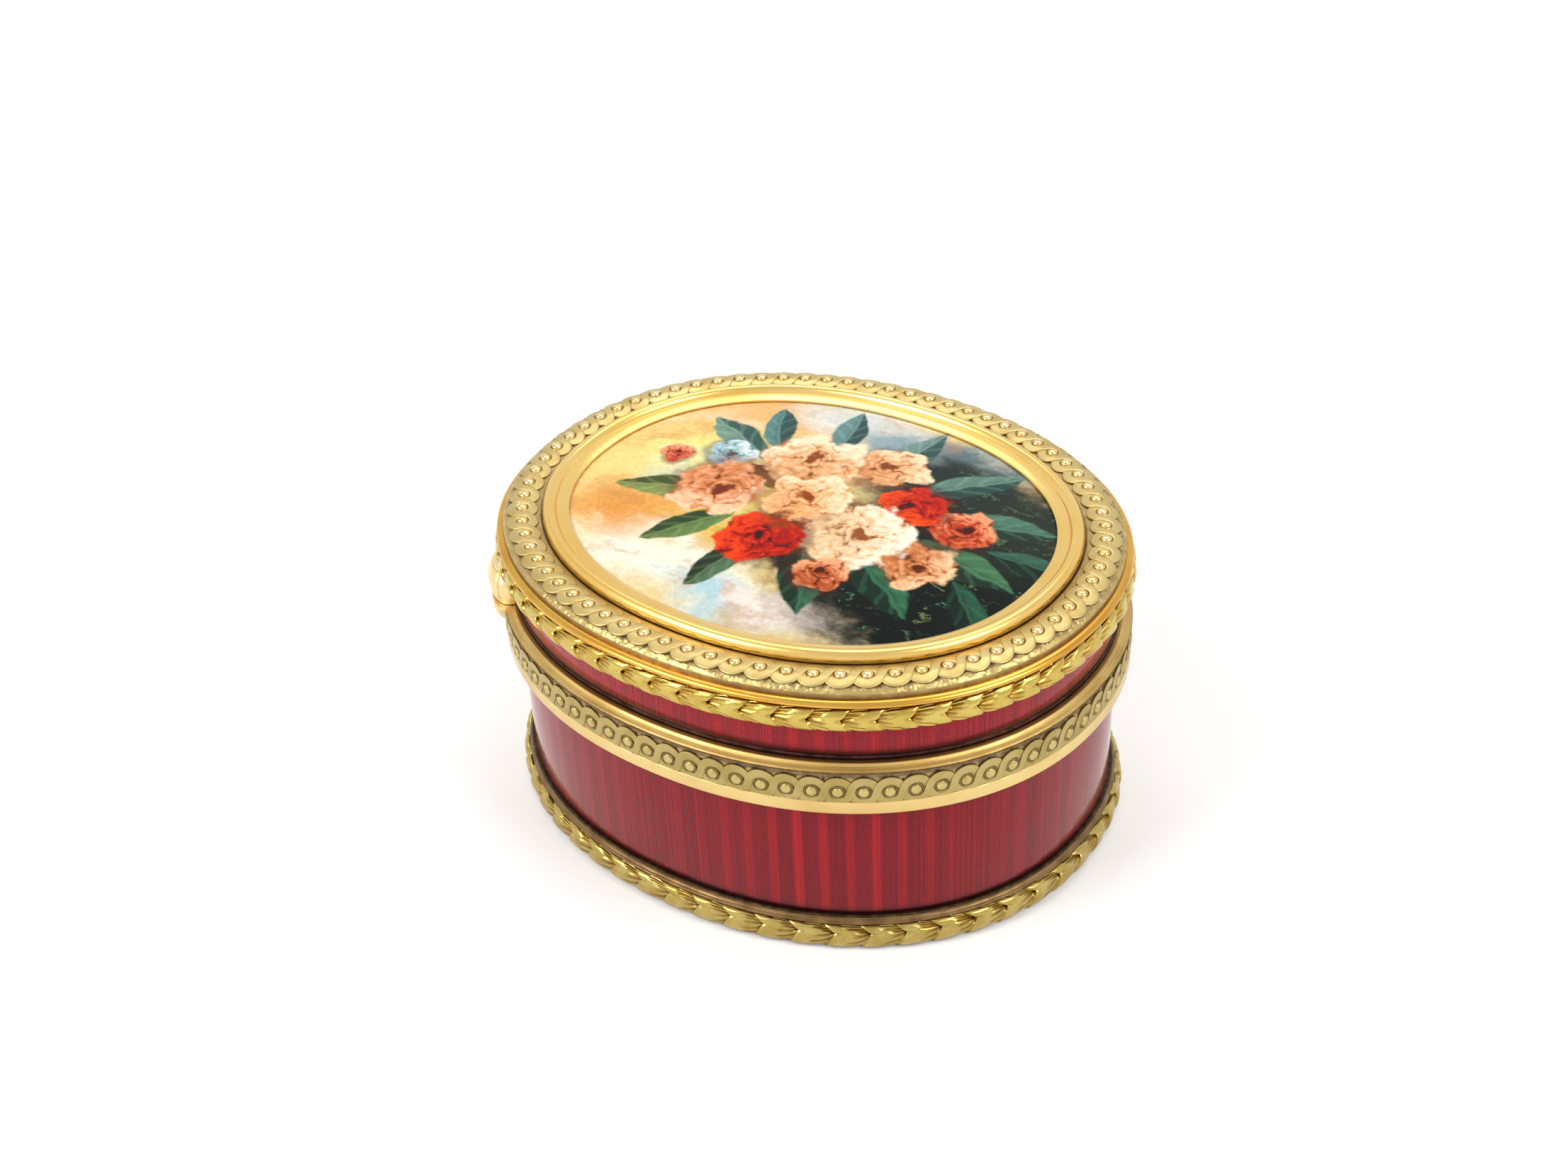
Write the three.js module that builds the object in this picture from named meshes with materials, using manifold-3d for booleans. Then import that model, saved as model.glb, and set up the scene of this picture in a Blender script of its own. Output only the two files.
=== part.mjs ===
import * as THREE from 'three';
import { mergeVertices } from 'three/addons/utils/BufferGeometryUtils.js';
import Module from 'manifold-3d';

// Oval snuff box with a hinged lid, in millimetres, +Z up.
// The origin is the middle of the foot. +X runs along the oval and +Y towards the hinge.

// Plan: the oval that runs through the beads of the lid. Every ring follows it at its own offset.
const ovalLength = 76;
const ovalWidth = 64;
const ovalExponent = 2.13;
const sideCount = 48;

// Gold sheet and enamel
const wallOffset = 1.3;
const wallThickness = 0.8;
const enamelThickness = 0.55;
const floorThickness = 0.9;

// Lip that stands up inside the mouth and keeps the lid in place
const lipThickness = 0.6;
const lipStand = 2;
const lipSeat = 3.5;
const lipClearance = 0.2;

// Heights of the body, from the foot up
const footHeight = 3.45;
const filletHeight = 1.2;
const bodyEnamelHeight = 17.2;
const borderHeight = 1.95;
const ribbonHeight = 3.95;
const rimHeight = 1.05;

// How far the mouldings of the body stand out from the wall
const footStand = 2.2;
const footNose = 1.1;
const filletStand = 1.4;
const filletStep = 0.5;
const bandStand = 2.3;
const bandBevel = 0.3;
const rimShoulder = 1.2;
const rimEdge = 0.25;

// Heights of the lid, from the mouth up
const seatGap = 0.1;
const lidRimHeight = 0.45;
const lidEnamelHeight = 4.3;
const leafHeight = 3.2;
const rabbetHeight = 0.65;
const frameThickness = 0.8;
const liningThickness = 0.7;

// How far the mouldings of the lid stand out from the wall
const lidRimStand = 0.65;
const leafStand = 2.3;
const leafNose = 1.15;
const cordonStand = 1.95;
const cordonWidth = 0.95;
const cordonDrop = 0.45;

// Ribbon, frame and picture on top of the lid, as offsets inside or outside the bead line
const topRibbonInside = 2.3;
const topRibbonOutside = 1.8;
const topRibbonThickness = 1.1;
const bezelOutside = 2.75;
const bezelWidth = 3.45;
const bezelHeight = 1.9;
const bezelLipHeight = 0.9;
const bezelRabbetHeight = 0.6;
const bezelStepWidth = 1.5;
const bezelStepHeight = 1.15;
const bezelOverlap = 0.25;
const pictureClearance = 0.1;
const pictureThickness = 1.25;
const pictureRise = 1.1;

// Hinge at the middle of the long back side
const hingeOffset = 2.85;
const hingeLength = 22;
const barrelRadius = 0.8;
const pinRadius = 0.33;
const pinClearance = 0.09;
const pinOverhang = 0.15;
const knuckleCount = 5;
const knuckleGap = 0.12;
const grooveClearance = 0.15;
const lugReach = 0.25;

// Thumbpiece on the lid and the boss below it, at a turn round the oval from +X
const thumbTurn = THREE.MathUtils.degToRad(217.7);
const thumbWidth = 9;
const thumbStand = 3.2;
const thumbTopStand = 2.5;
const bossStand = 1.3;
const bossHeight = 3.7;
const bossClearance = 0.05;

// Shapes of the two lobes, as shares of their height, stand and half width
const thumbShoulderShares = [1 / 3, 2 / 3];
const thumbTopShare = 2 / 3;
const bossFootStandShare = 1 / 4;
const bossFootWidthShare = 1 / 3;
const bossMiddleHeightShare = 1 / 2;
const bossMiddleStandShare = 3 / 4;
const bossMiddleWidthShare = 4 / 5;

// How rounded noses, domes and small round parts are divided
const noseSteps = 6;
const domeSteps = 3;
const roundSides = 14;
const thumbSteps = 8;
const ovalSamples = 4000;

// Sizes that follow from the ones above
const halfLength = ovalLength / 2;
const halfWidth = ovalWidth / 2;
const wallInside = wallOffset - wallThickness;
const enamelFace = wallOffset + enamelThickness;
const bandFace = wallOffset + bandStand;

const fillet = { bottom: footHeight, top: footHeight + filletHeight };
const bodyEnamel = { bottom: fillet.top, top: fillet.top + bodyEnamelHeight };
const border = { bottom: bodyEnamel.top, top: bodyEnamel.top + borderHeight };
const ribbon = { bottom: border.top, top: border.top + ribbonHeight };
const rim = { bottom: ribbon.top, top: ribbon.top + rimHeight };

const lidBottom = rim.top + seatGap;
const lidRim = { bottom: lidBottom, top: lidBottom + lidRimHeight };
const lidEnamel = { bottom: lidRim.top, top: lidRim.top + lidEnamelHeight };
const leaf = { bottom: lidEnamel.top, top: lidEnamel.top + leafHeight };
const frame = { bottom: leaf.top + rabbetHeight, top: leaf.top + rabbetHeight + frameThickness };
const lining = { bottom: frame.bottom - liningThickness, top: frame.bottom };
const pictureEdge = frame.bottom + pictureThickness;

const bezelInside = bezelOutside + bezelWidth;
const frameOpening = bezelInside - bezelOverlap;
const pictureOutline = frameOpening + pictureClearance;

const hingeAxis = { y: halfWidth + hingeOffset, z: rim.top + seatGap / 2 };
const boreRadius = pinRadius + pinClearance;

// A point of the oval and its outward direction, at a turn round it.
function ovalPoint(turn) {
  const c = Math.cos(turn);
  const s = Math.sin(turn);
  const power = 2 / ovalExponent;
  const x = halfLength * Math.sign(c) * Math.abs(c) ** power;
  const y = halfWidth * Math.sign(s) * Math.abs(s) ** power;
  const nx = Math.sign(c) * Math.abs(c) ** (2 - power) / halfLength;
  const ny = Math.sign(s) * Math.abs(s) ** (2 - power) / halfWidth;
  const size = Math.hypot(nx, ny);
  return { x, y, nx: nx / size, ny: ny / size };
}

// Turns that divide a quarter of the oval into equal lengths.
function quarterTurns(count) {
  const quarter = Math.PI / 2;
  const lengths = [0];
  let last = ovalPoint(0);
  for (let i = 1; i <= ovalSamples; i++) {
    const next = ovalPoint(quarter * i / ovalSamples);
    lengths.push(lengths[i - 1] + Math.hypot(next.x - last.x, next.y - last.y));
    last = next;
  }
  const turns = [];
  let i = 0;
  for (let k = 0; k <= count; k++) {
    const goal = lengths[ovalSamples] * k / count;
    while (i < ovalSamples && lengths[i] < goal) i++;
    turns.push(quarter * i / ovalSamples);
  }
  return turns;
}

// The stations that all rings share, counter-clockwise from +X, so that neighbours meet face to face.
function makeStations() {
  const turns = quarterTurns(sideCount / 4);
  const first = turns.slice(0, -1).map(ovalPoint);
  const back = turns.slice(1).reverse().map(ovalPoint);
  const second = back.map((p) => ({ x: -p.x, y: p.y, nx: -p.nx, ny: p.ny }));
  const half = [...first, ...second];
  const other = half.map((p) => ({ x: -p.x, y: -p.y, nx: -p.nx, ny: -p.ny }));
  return [...half, ...other];
}

const stations = makeStations();

function place(station, offset, z) {
  return [station.x + offset * station.nx, station.y + offset * station.ny, z];
}

function closedGeometry(points, faces) {
  const geometry = new THREE.BufferGeometry();
  geometry.setAttribute('position', new THREE.Float32BufferAttribute(points.flat(), 3));
  geometry.setIndex(faces.flat());
  geometry.computeVertexNormals();
  return geometry;
}

// A ring round the box. Its section is a list of [offset, height] points, counter-clockwise.
function ring(section) {
  const count = section.length;
  const points = stations.flatMap((p) => section.map(([offset, z]) => place(p, offset, z)));
  const faces = [];
  for (let i = 0; i < stations.length; i++) {
    const here = i * count;
    const there = ((i + 1) % stations.length) * count;
    for (let k = 0; k < count; k++) {
      const next = (k + 1) % count;
      faces.push([here + k, there + k, there + next], [here + k, there + next, here + next]);
    }
  }
  return closedGeometry(points, faces);
}

function flatRing(inside, outside, bottom, top) {
  return ring([[inside, bottom], [outside, bottom], [outside, top], [inside, top]]);
}

// An oval body built from rings of points, bottom to top, with a flat cap at each end.
function stack(levels) {
  const points = levels.flatMap((level) => stations.map(level));
  const side = stations.length;
  const faces = [];
  for (let k = 0; k + 1 < levels.length; k++) {
    for (let i = 0; i < side; i++) {
      const a = k * side + i;
      const b = k * side + (i + 1) % side;
      faces.push([a, b, b + side], [a, b + side, a + side]);
    }
  }
  const first = points[0][2];
  const last = points[points.length - 1][2];
  const low = points.push([0, 0, first]) - 1;
  const high = points.push([0, 0, last]) - 1;
  const upper = (levels.length - 1) * side;
  for (let i = 0; i < side; i++) {
    const next = (i + 1) % side;
    faces.push([low, next, i], [high, upper + i, upper + next]);
  }
  return closedGeometry(points, faces);
}

function plate(offset, bottom, top) {
  return stack([(p) => place(p, offset, bottom), (p) => place(p, offset, top)]);
}

// Points of a rounded nose from its lower to its upper end, on half an ellipse.
function nose(reach, depth, bottom, top) {
  const middle = (bottom + top) / 2;
  const points = [];
  for (let k = 0; k <= noseSteps; k++) {
    const turn = Math.PI * (k / noseSteps - 1 / 2);
    points.push([reach - depth + depth * Math.cos(turn), middle + (top - bottom) / 2 * Math.sin(turn)]);
  }
  return points;
}

function noseRing(inside, reach, depth, bottom, top) {
  return ring([[inside, bottom], ...nose(reach, depth, bottom, top), [inside, top]]);
}

const wasm = await Module();
wasm.setup();

function toSolid(geometry) {
  const bare = new THREE.BufferGeometry();
  bare.setAttribute('position', geometry.getAttribute('position'));
  bare.setIndex(geometry.getIndex());
  const merged = mergeVertices(bare);
  const vertProperties = merged.getAttribute('position').array;
  const triVerts = new Uint32Array(merged.getIndex().array);
  return new wasm.Manifold(new wasm.Mesh({ numProp: 3, vertProperties, triVerts }));
}

function toGeometry(solid) {
  const { vertProperties, triVerts } = solid.getMesh();
  const geometry = new THREE.BufferGeometry();
  geometry.setAttribute('position', new THREE.BufferAttribute(vertProperties, 3));
  geometry.setIndex(new THREE.BufferAttribute(triVerts, 1));
  geometry.computeVertexNormals();
  return geometry;
}

// Body

function bodyWall() {
  return flatRing(wallInside, wallOffset, 0, rim.top);
}

function basePlate() {
  return plate(wallInside, 0, floorThickness);
}

function bodyLip() {
  return flatRing(wallInside - lipThickness, wallInside, rim.top - lipSeat, rim.top + lipStand);
}

function footMoulding() {
  return noseRing(wallOffset, wallOffset + footStand, footNose, 0, footHeight);
}

function baseFillet() {
  const reach = wallOffset + filletStand;
  const upper = reach - filletStep;
  const lower = [[wallOffset, fillet.bottom], [reach, fillet.bottom]];
  return ring([...lower, [upper, fillet.top], [wallOffset, fillet.top]]);
}

function bodyEnamelSkin() {
  return flatRing(wallOffset, enamelFace, bodyEnamel.bottom, bodyEnamel.top);
}

function bandBorder() {
  const low = border.bottom;
  const section = [[wallOffset, low], [bandFace - bandBevel, low], [bandFace, low + bandBevel]];
  return ring([...section, [bandFace, border.top], [wallOffset, border.top]]);
}

function ribbonBand() {
  return flatRing(wallOffset, bandFace, ribbon.bottom, ribbon.top);
}

// A cylinder along X, round the hinge axis.
function alongHinge(radius, length, middle) {
  const cylinder = new THREE.CylinderGeometry(radius, radius, length, roundSides);
  cylinder.rotateZ(Math.PI / 2);
  cylinder.translate(middle, hingeAxis.y, hingeAxis.z);
  return cylinder;
}

// The polished rim rolls over outwards and has a groove along the back in which the hinge barrel lies.
function bodyRim() {
  const section = [[wallOffset, rim.bottom], [bandFace, rim.bottom]];
  for (let k = 0; k <= noseSteps; k++) {
    const turn = Math.PI / 2 * k / noseSteps;
    const offset = bandFace - rimShoulder * (1 - Math.cos(turn));
    section.push([offset, rim.bottom + rimEdge + (rimHeight - rimEdge) * Math.sin(turn)]);
  }
  const whole = ring([...section, [wallOffset, rim.top]]);
  const groove = alongHinge(barrelRadius + grooveClearance, hingeLength + 2 * grooveClearance, 0);
  return toGeometry(toSolid(whole).subtract(toSolid(groove)));
}

// Hinge

const knucklePitch = hingeLength / knuckleCount;
const knuckleLength = knucklePitch - knuckleGap;

function knuckleMiddle(index) {
  return (index - (knuckleCount - 1) / 2) * knucklePitch;
}

function barrel(middle) {
  const profile = [
    new THREE.Vector2(boreRadius, 0),
    new THREE.Vector2(barrelRadius, 0),
    new THREE.Vector2(barrelRadius, knuckleLength),
    new THREE.Vector2(boreRadius, knuckleLength),
    new THREE.Vector2(boreRadius, 0),
  ];
  const tube = new THREE.LatheGeometry(profile, roundSides);
  tube.rotateZ(-Math.PI / 2);
  tube.translate(middle - knuckleLength / 2, hingeAxis.y, hingeAxis.z);
  return tube;
}

// Where the facets of a ring at an offset lie at x along the back.
function backFace(offset, x) {
  for (let i = 0; i < stations.length; i++) {
    const [x0, y0] = place(stations[i], offset, 0);
    const [x1, y1] = place(stations[(i + 1) % stations.length], offset, 0);
    if (y0 > 0 && y1 > 0 && x0 >= x && x1 <= x && x0 > x1) return y0 + (y1 - y0) * (x - x0) / (x1 - x0);
  }
  return 0;
}

// A lug joins each lid knuckle to the rim of the lid. Its inner edge follows the facets of the rim.
function lug(middle) {
  const left = middle - knuckleLength / 2;
  const right = middle + knuckleLength / 2;
  const inside = wallOffset + lidRimStand;
  const outer = hingeAxis.y - barrelRadius + lugReach;
  const between = stations.map((p) => place(p, inside, 0)).filter(([x, y]) => y > 0 && x > left && x < right);
  between.sort((a, b) => b[0] - a[0]);
  const outline = new THREE.Shape();
  outline.moveTo(left, outer);
  outline.lineTo(left, backFace(inside, left));
  for (const [x, y] of between.reverse()) outline.lineTo(x, y);
  outline.lineTo(right, backFace(inside, right));
  outline.lineTo(right, outer);
  const tongue = new THREE.ExtrudeGeometry(outline, { depth: lidRimHeight, bevelEnabled: false });
  tongue.translate(0, 0, lidRim.bottom);
  return tongue;
}

function bodyKnuckle(index) {
  return barrel(knuckleMiddle(index));
}

function lidKnuckle(index) {
  const middle = knuckleMiddle(index);
  return toGeometry(toSolid(barrel(middle)).add(toSolid(lug(middle))));
}

function hingePin() {
  return alongHinge(pinRadius, hingeLength + 2 * pinOverhang, 0);
}

// Lid

function lidWall() {
  return flatRing(wallInside + lipClearance, wallOffset, lidBottom, frame.bottom);
}

function lidRimStrip() {
  return flatRing(wallOffset, wallOffset + lidRimStand, lidRim.bottom, lidRim.top);
}

function lidEnamelSkin() {
  return flatRing(wallOffset, enamelFace, lidEnamel.bottom, lidEnamel.top);
}

function leafMoulding() {
  return noseRing(wallOffset, wallOffset + leafStand, leafNose, leaf.bottom, leaf.top);
}

// The polished cordon has a rabbet that holds the frame of the lid's top.
function lidCordon() {
  const reach = wallOffset + cordonStand;
  const seat = reach - cordonWidth;
  const rounded = nose(reach, cordonWidth, leaf.top, frame.top - cordonDrop);
  return ring([[wallOffset, leaf.top], ...rounded, [seat, frame.bottom], [wallOffset, frame.bottom]]);
}

function lidFrame() {
  return flatRing(-frameOpening, wallOffset + cordonStand - cordonWidth, frame.bottom, frame.top);
}

function topRibbon() {
  return flatRing(-topRibbonInside, topRibbonOutside, frame.top, frame.top + topRibbonThickness);
}

// The bezel has a rabbet and a low lip that hold the picture, a sloping step and a round outer bead.
function pictureBezel() {
  const beadInside = bezelInside - bezelStepWidth;
  const beadWidth = beadInside - bezelOutside;
  const beadFoot = frame.top + bezelStepHeight;
  const rabbet = frame.top + bezelRabbetHeight;
  const section = [[-bezelInside, rabbet], [-frameOpening, rabbet], [-frameOpening, frame.top]];
  section.push([-bezelOutside, frame.top]);
  for (let k = 0; k <= noseSteps; k++) {
    const turn = Math.PI * k / noseSteps;
    const across = -(beadInside + bezelOutside) / 2 + beadWidth / 2 * Math.cos(turn);
    const foot = k * 2 > noseSteps ? beadFoot : frame.top + bezelLipHeight;
    const crown = frame.top + bezelHeight;
    section.push([across, foot + (crown - foot) * Math.sin(turn)]);
  }
  section.push([-bezelInside, frame.top + bezelLipHeight]);
  return ring(section);
}

function picturePlaque() {
  const edge = (z) => (p) => place(p, -pictureOutline, z);
  const levels = [edge(frame.bottom), edge(pictureEdge)];
  for (let k = 1; k <= domeSteps; k++) {
    const share = 1 - k / (domeSteps + 1);
    const z = pictureEdge + pictureRise * (1 - share ** 2);
    levels.push((p) => {
      const [x, y] = place(p, -pictureOutline, 0);
      return [x * share, y * share, z];
    });
  }
  return stack(levels);
}

function lidLining() {
  return plate(wallInside + lipClearance, lining.bottom, lining.top);
}

// Thumbpiece and boss

// A lobe against the wall: levels give [height, inner offset, outer offset, half width], bottom to top.
function lobe(levels) {
  const p = ovalPoint(thumbTurn);
  const side = thumbSteps + 1;
  const points = [];
  for (const [z, inside, outside, reach] of levels) {
    for (let k = 0; k < side; k++) {
      const turn = Math.PI * (k / thumbSteps - 1 / 2);
      const offset = inside + (outside - inside) * Math.cos(turn);
      const along = reach * Math.sin(turn);
      points.push([p.x + offset * p.nx - along * p.ny, p.y + offset * p.ny + along * p.nx, z]);
    }
  }
  const faces = [];
  for (let j = 0; j + 1 < levels.length; j++) {
    for (let k = 0; k < side; k++) {
      const a = j * side + k;
      const b = j * side + (k + 1) % side;
      faces.push([a, b, b + side], [a, b + side, a + side]);
    }
  }
  const upper = (levels.length - 1) * side;
  for (let k = 1; k + 1 < side; k++) {
    faces.push([0, k + 1, k], [upper, upper + k, upper + k + 1]);
  }
  return closedGeometry(points, faces);
}

function thumbpiece() {
  const inside = enamelFace + (lidRimStand - enamelThickness) + bossClearance;
  const height = leaf.bottom - lidBottom;
  const reach = thumbWidth / 2;
  const face = enamelFace + thumbStand;
  return lobe([
    [lidBottom, inside, enamelFace + (thumbStand + thumbTopStand) / 2, reach],
    ...thumbShoulderShares.map((share) => [lidBottom + height * share, inside, face, reach]),
    [leaf.bottom, inside, enamelFace + thumbTopStand, reach * thumbTopShare],
  ]);
}

function thumbBoss() {
  const inside = bandFace + bossClearance;
  const reach = thumbWidth / 2;
  const foot = rim.top - bossHeight;
  const middle = foot + bossHeight * bossMiddleHeightShare;
  return lobe([
    [foot, inside, inside + bossStand * bossFootStandShare, reach * bossFootWidthShare],
    [middle, inside, bandFace + bossStand * bossMiddleStandShare, reach * bossMiddleWidthShare],
    [rim.top, inside, bandFace + bossStand, reach],
  ]);
}

// Materials

const gold = new THREE.MeshStandardMaterial({ color: 0xd9b45c, roughness: 0.32, metalness: 1 });
const dullGold = new THREE.MeshStandardMaterial({ color: 0xc3b06c, roughness: 0.5, metalness: 1 });
const brightGold = new THREE.MeshStandardMaterial({ color: 0xe0ae4e, roughness: 0.16, metalness: 1 });
const paleGold = new THREE.MeshStandardMaterial({ color: 0xe6c98a, roughness: 0.3, metalness: 1 });
const brownGold = new THREE.MeshStandardMaterial({ color: 0x8a6636, roughness: 0.45, metalness: 1 });
const redEnamel = new THREE.MeshStandardMaterial({ color: 0xa32632, roughness: 0.12, metalness: 0 });
const paintedEnamel = new THREE.MeshStandardMaterial({ color: 0xd8c49a, roughness: 0.1, metalness: 0 });

const box = new THREE.Group();
const lid = new THREE.Group();
box.add(lid);

function add(parent, name, geometry, material) {
  const mesh = new THREE.Mesh(geometry, material.clone());
  mesh.name = name;
  parent.add(mesh);
}

add(box, 'body_wall', bodyWall(), gold);
add(box, 'base_plate', basePlate(), gold);
add(box, 'body_lip', bodyLip(), brightGold);
add(box, 'foot_leaf_moulding', footMoulding(), gold);
add(box, 'base_fillet', baseFillet(), brownGold);
add(box, 'body_enamel', bodyEnamelSkin(), redEnamel);
add(box, 'band_border', bandBorder(), paleGold);
add(box, 'body_ribbon_band', ribbonBand(), dullGold);
add(box, 'body_rim', bodyRim(), brightGold);
add(box, 'thumb_boss', thumbBoss(), gold);

add(lid, 'lid_wall', lidWall(), gold);
add(lid, 'lid_rim', lidRimStrip(), gold);
add(lid, 'lid_enamel', lidEnamelSkin(), redEnamel);
add(lid, 'lid_leaf_moulding', leafMoulding(), gold);
add(lid, 'lid_cordon', lidCordon(), brightGold);
add(lid, 'lid_frame', lidFrame(), dullGold);
add(lid, 'lid_ribbon_band', topRibbon(), dullGold);
add(lid, 'picture_bezel', pictureBezel(), brightGold);
add(lid, 'picture_plaque', picturePlaque(), paintedEnamel);
add(lid, 'lid_lining', lidLining(), gold);
add(lid, 'thumbpiece', thumbpiece(), gold);

for (let index = 0; index < knuckleCount; index++) {
  const onLid = index % 2 === 1;
  const name = `${onLid ? 'lid' : 'body'}_knuckle_${Math.floor(index / 2) + 1}`;
  add(onLid ? lid : box, name, onLid ? lidKnuckle(index) : bodyKnuckle(index), gold);
}
add(box, 'hinge_pin', hingePin(), gold);

export default box;
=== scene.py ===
import math

import bpy
import numpy as np
from mathutils import Matrix, Vector


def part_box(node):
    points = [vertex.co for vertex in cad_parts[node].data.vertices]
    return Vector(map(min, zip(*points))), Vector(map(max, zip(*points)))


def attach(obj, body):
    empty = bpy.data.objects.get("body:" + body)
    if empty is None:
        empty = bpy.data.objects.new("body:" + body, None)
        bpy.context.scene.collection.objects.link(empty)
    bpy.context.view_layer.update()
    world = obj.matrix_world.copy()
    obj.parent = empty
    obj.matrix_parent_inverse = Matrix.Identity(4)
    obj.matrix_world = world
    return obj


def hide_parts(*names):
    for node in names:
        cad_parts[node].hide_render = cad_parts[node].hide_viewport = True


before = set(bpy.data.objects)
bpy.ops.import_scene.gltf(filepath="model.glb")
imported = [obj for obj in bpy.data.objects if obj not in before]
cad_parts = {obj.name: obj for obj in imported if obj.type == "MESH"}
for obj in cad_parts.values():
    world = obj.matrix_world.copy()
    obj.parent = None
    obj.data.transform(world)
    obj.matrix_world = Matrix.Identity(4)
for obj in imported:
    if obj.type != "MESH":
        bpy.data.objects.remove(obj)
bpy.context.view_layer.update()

# An oval snuff box with a hinged lid. Sizes are in millimetres and are turned to metres when a mesh is made.
MM = 0.001

# Plan: the oval that runs near the beads of the lid. Every ring follows it at its own offset. Its exponent is a
# little over an ellipse's 2, which makes its ends fuller.
OVAL_LENGTH = 76
OVAL_WIDTH = 64
OVAL_EXPONENT = 2.13
RING_STEPS = 432
# Steps of the tables from which places are spaced evenly round the oval
TABLE_STEPS = 7200


def heights(node):
    """The lowest and highest level of a CAD node, in millimetres."""
    low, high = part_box(node)
    return low.z / MM, high.z / MM


def reach(node):
    """How far a ring stands outside the oval."""
    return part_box(node)[1].x / MM - OVAL_LENGTH / 2


def oval(turns):
    """Points of the oval and their outward directions."""
    c, s = np.cos(turns), np.sin(turns)
    power = 2 / OVAL_EXPONENT
    x = OVAL_LENGTH / 2 * np.sign(c) * np.abs(c) ** power
    y = OVAL_WIDTH / 2 * np.sign(s) * np.abs(s) ** power
    nx = np.sign(c) * np.abs(c) ** (2 - power) / (OVAL_LENGTH / 2)
    ny = np.sign(s) * np.abs(s) ** (2 - power) / (OVAL_WIDTH / 2)
    size = np.hypot(nx, ny)
    return x, y, nx / size, ny / size


arc_tables = {}


def arc_table(along):
    """Turns and lengths round the oval at the offset along."""
    if along not in arc_tables:
        turns = np.linspace(0, 2 * np.pi, TABLE_STEPS + 1)
        x, y, nx, ny = oval(turns)
        x, y = x + along * nx, y + along * ny
        lengths = np.concatenate([[0], np.cumsum(np.hypot(np.diff(x), np.diff(y)))])
        arc_tables[along] = turns, lengths
    return arc_tables[along]


def place(share, offset, z, along=0.0):
    """Points at a share of the way round, an offset outside the oval and a height, for numbers or arrays."""
    share, offset, z = np.broadcast_arrays(share, offset, z)
    turns, lengths = arc_table(along)
    x, y, nx, ny = oval(np.interp(np.mod(share, 1) * lengths[-1], lengths, turns))
    return np.stack([x + offset * nx, y + offset * ny, z], -1)


def smooth_step(low, high, value):
    """0 at low and 1 at high, with soft ends."""
    t = np.clip((value - low) / (high - low), 0, 1)
    return t * t * (3 - 2 * t)


def bell(distance, width):
    """1 where there is no distance, and next to nothing beyond two widths."""
    return np.exp(-(distance / width) ** 2)


def make_piece(name, points, faces, finish, slot, body, nodes=(), dirt_and_shade=None, uv=None, crease=40):
    """A mesh piece from points in millimetres, with its finish, its body and the CAD nodes that it stands for."""
    mesh = bpy.data.meshes.new(name)
    mesh.from_pydata((np.asarray(points) * MM).tolist(), [], [tuple(f) for f in faces])
    mesh.shade_smooth()
    mesh.set_sharp_from_angle(angle=math.radians(crease))
    if dirt_and_shade is not None:
        layer = mesh.attributes.new("dirt_and_shade", "FLOAT", "POINT")
        layer.data.foreach_set("value", np.asarray(dirt_and_shade, np.float32).ravel())
    if uv is not None:
        layer = mesh.uv_layers.new(name="around")
        layer.data.foreach_set("uv", np.asarray(uv, np.float32).ravel())
    piece = bpy.data.objects.new(name, mesh)
    bpy.context.scene.collection.objects.link(piece)
    mesh.materials.append(finish)
    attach(piece, body)
    if nodes:
        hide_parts(*nodes)
    return piece


def arc(across, height, wide, tall, start, end, steps):
    """Points on a part of an ellipse, with angles in degrees from the outward direction."""
    turns = np.radians(np.linspace(start, end, steps + 1))
    return [(across + wide * math.cos(t), height + tall * math.sin(t)) for t in turns]


def soften(section, radius, steps=3):
    """A section with its corners rounded."""
    section = [np.array(p, float) for p in section]
    out = []
    for before, corner, after in zip([section[-1], *section[:-1]], section, [*section[1:], section[0]]):
        back, on = before - corner, after - corner
        start = corner + back * min(0.45, radius / np.linalg.norm(back))
        end = corner + on * min(0.45, radius / np.linalg.norm(on))
        for k in range(steps + 1):
            t = k / steps
            out.append((1 - t) ** 2 * start + 2 * t * (1 - t) * corner + t ** 2 * end)
    return out


def sheet_faces(rows, cols, closed_rows=False, closed_cols=False):
    """Four-sided faces of a sheet of points in rows. A closed one joins its last row or column to its first."""
    i, k = np.meshgrid(np.arange(rows - 1 + closed_rows), np.arange(cols - 1 + closed_cols), indexing="ij")
    there, after = (i + 1) % rows, (k + 1) % cols
    return np.stack([i * cols + k, i * cols + after, there * cols + after, there * cols + k], -1).reshape(-1, 4)


# The order of a face's corners that turns it over and keeps the first one
OVER = [0, 3, 2, 1]


def ring_mesh(section, along=0.0, steps=RING_STEPS):
    """Points, faces and UVs of a ring with a section of (offset, height) points, counter-clockwise."""
    section = np.array(section, float)
    count = len(section)
    share = np.arange(steps)[:, None] / steps
    points = place(share, section[None, :, 0], section[None, :, 1], along).reshape(-1, 3)
    sides = np.linalg.norm(np.diff(np.vstack([section, section[:1]]), axis=0), axis=1)
    run = np.concatenate([[0], np.cumsum(sides)])
    i, k = np.divmod(np.arange(steps * count), count)
    u = np.stack([i, i + 1, i + 1, i], -1) / steps
    v = np.stack([run[k], run[k], run[k + 1], run[k + 1]], -1)
    return points, sheet_faces(steps, count, True, True)[:, OVER], np.stack([u, v], -1).reshape(-1, 2)


def make_ring(name, section, finish, slot, body, nodes, dirt_and_shade=None, along=0.0, crease=40):
    points, faces, uv = ring_mesh(section, along)
    tones = None if dirt_and_shade is None else np.tile([dirt_and_shade(o, z) for o, z in section], RING_STEPS)
    return make_piece(name, points, faces, finish, slot, body, nodes, tones, uv, crease)


# Colours and nodes

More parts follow.
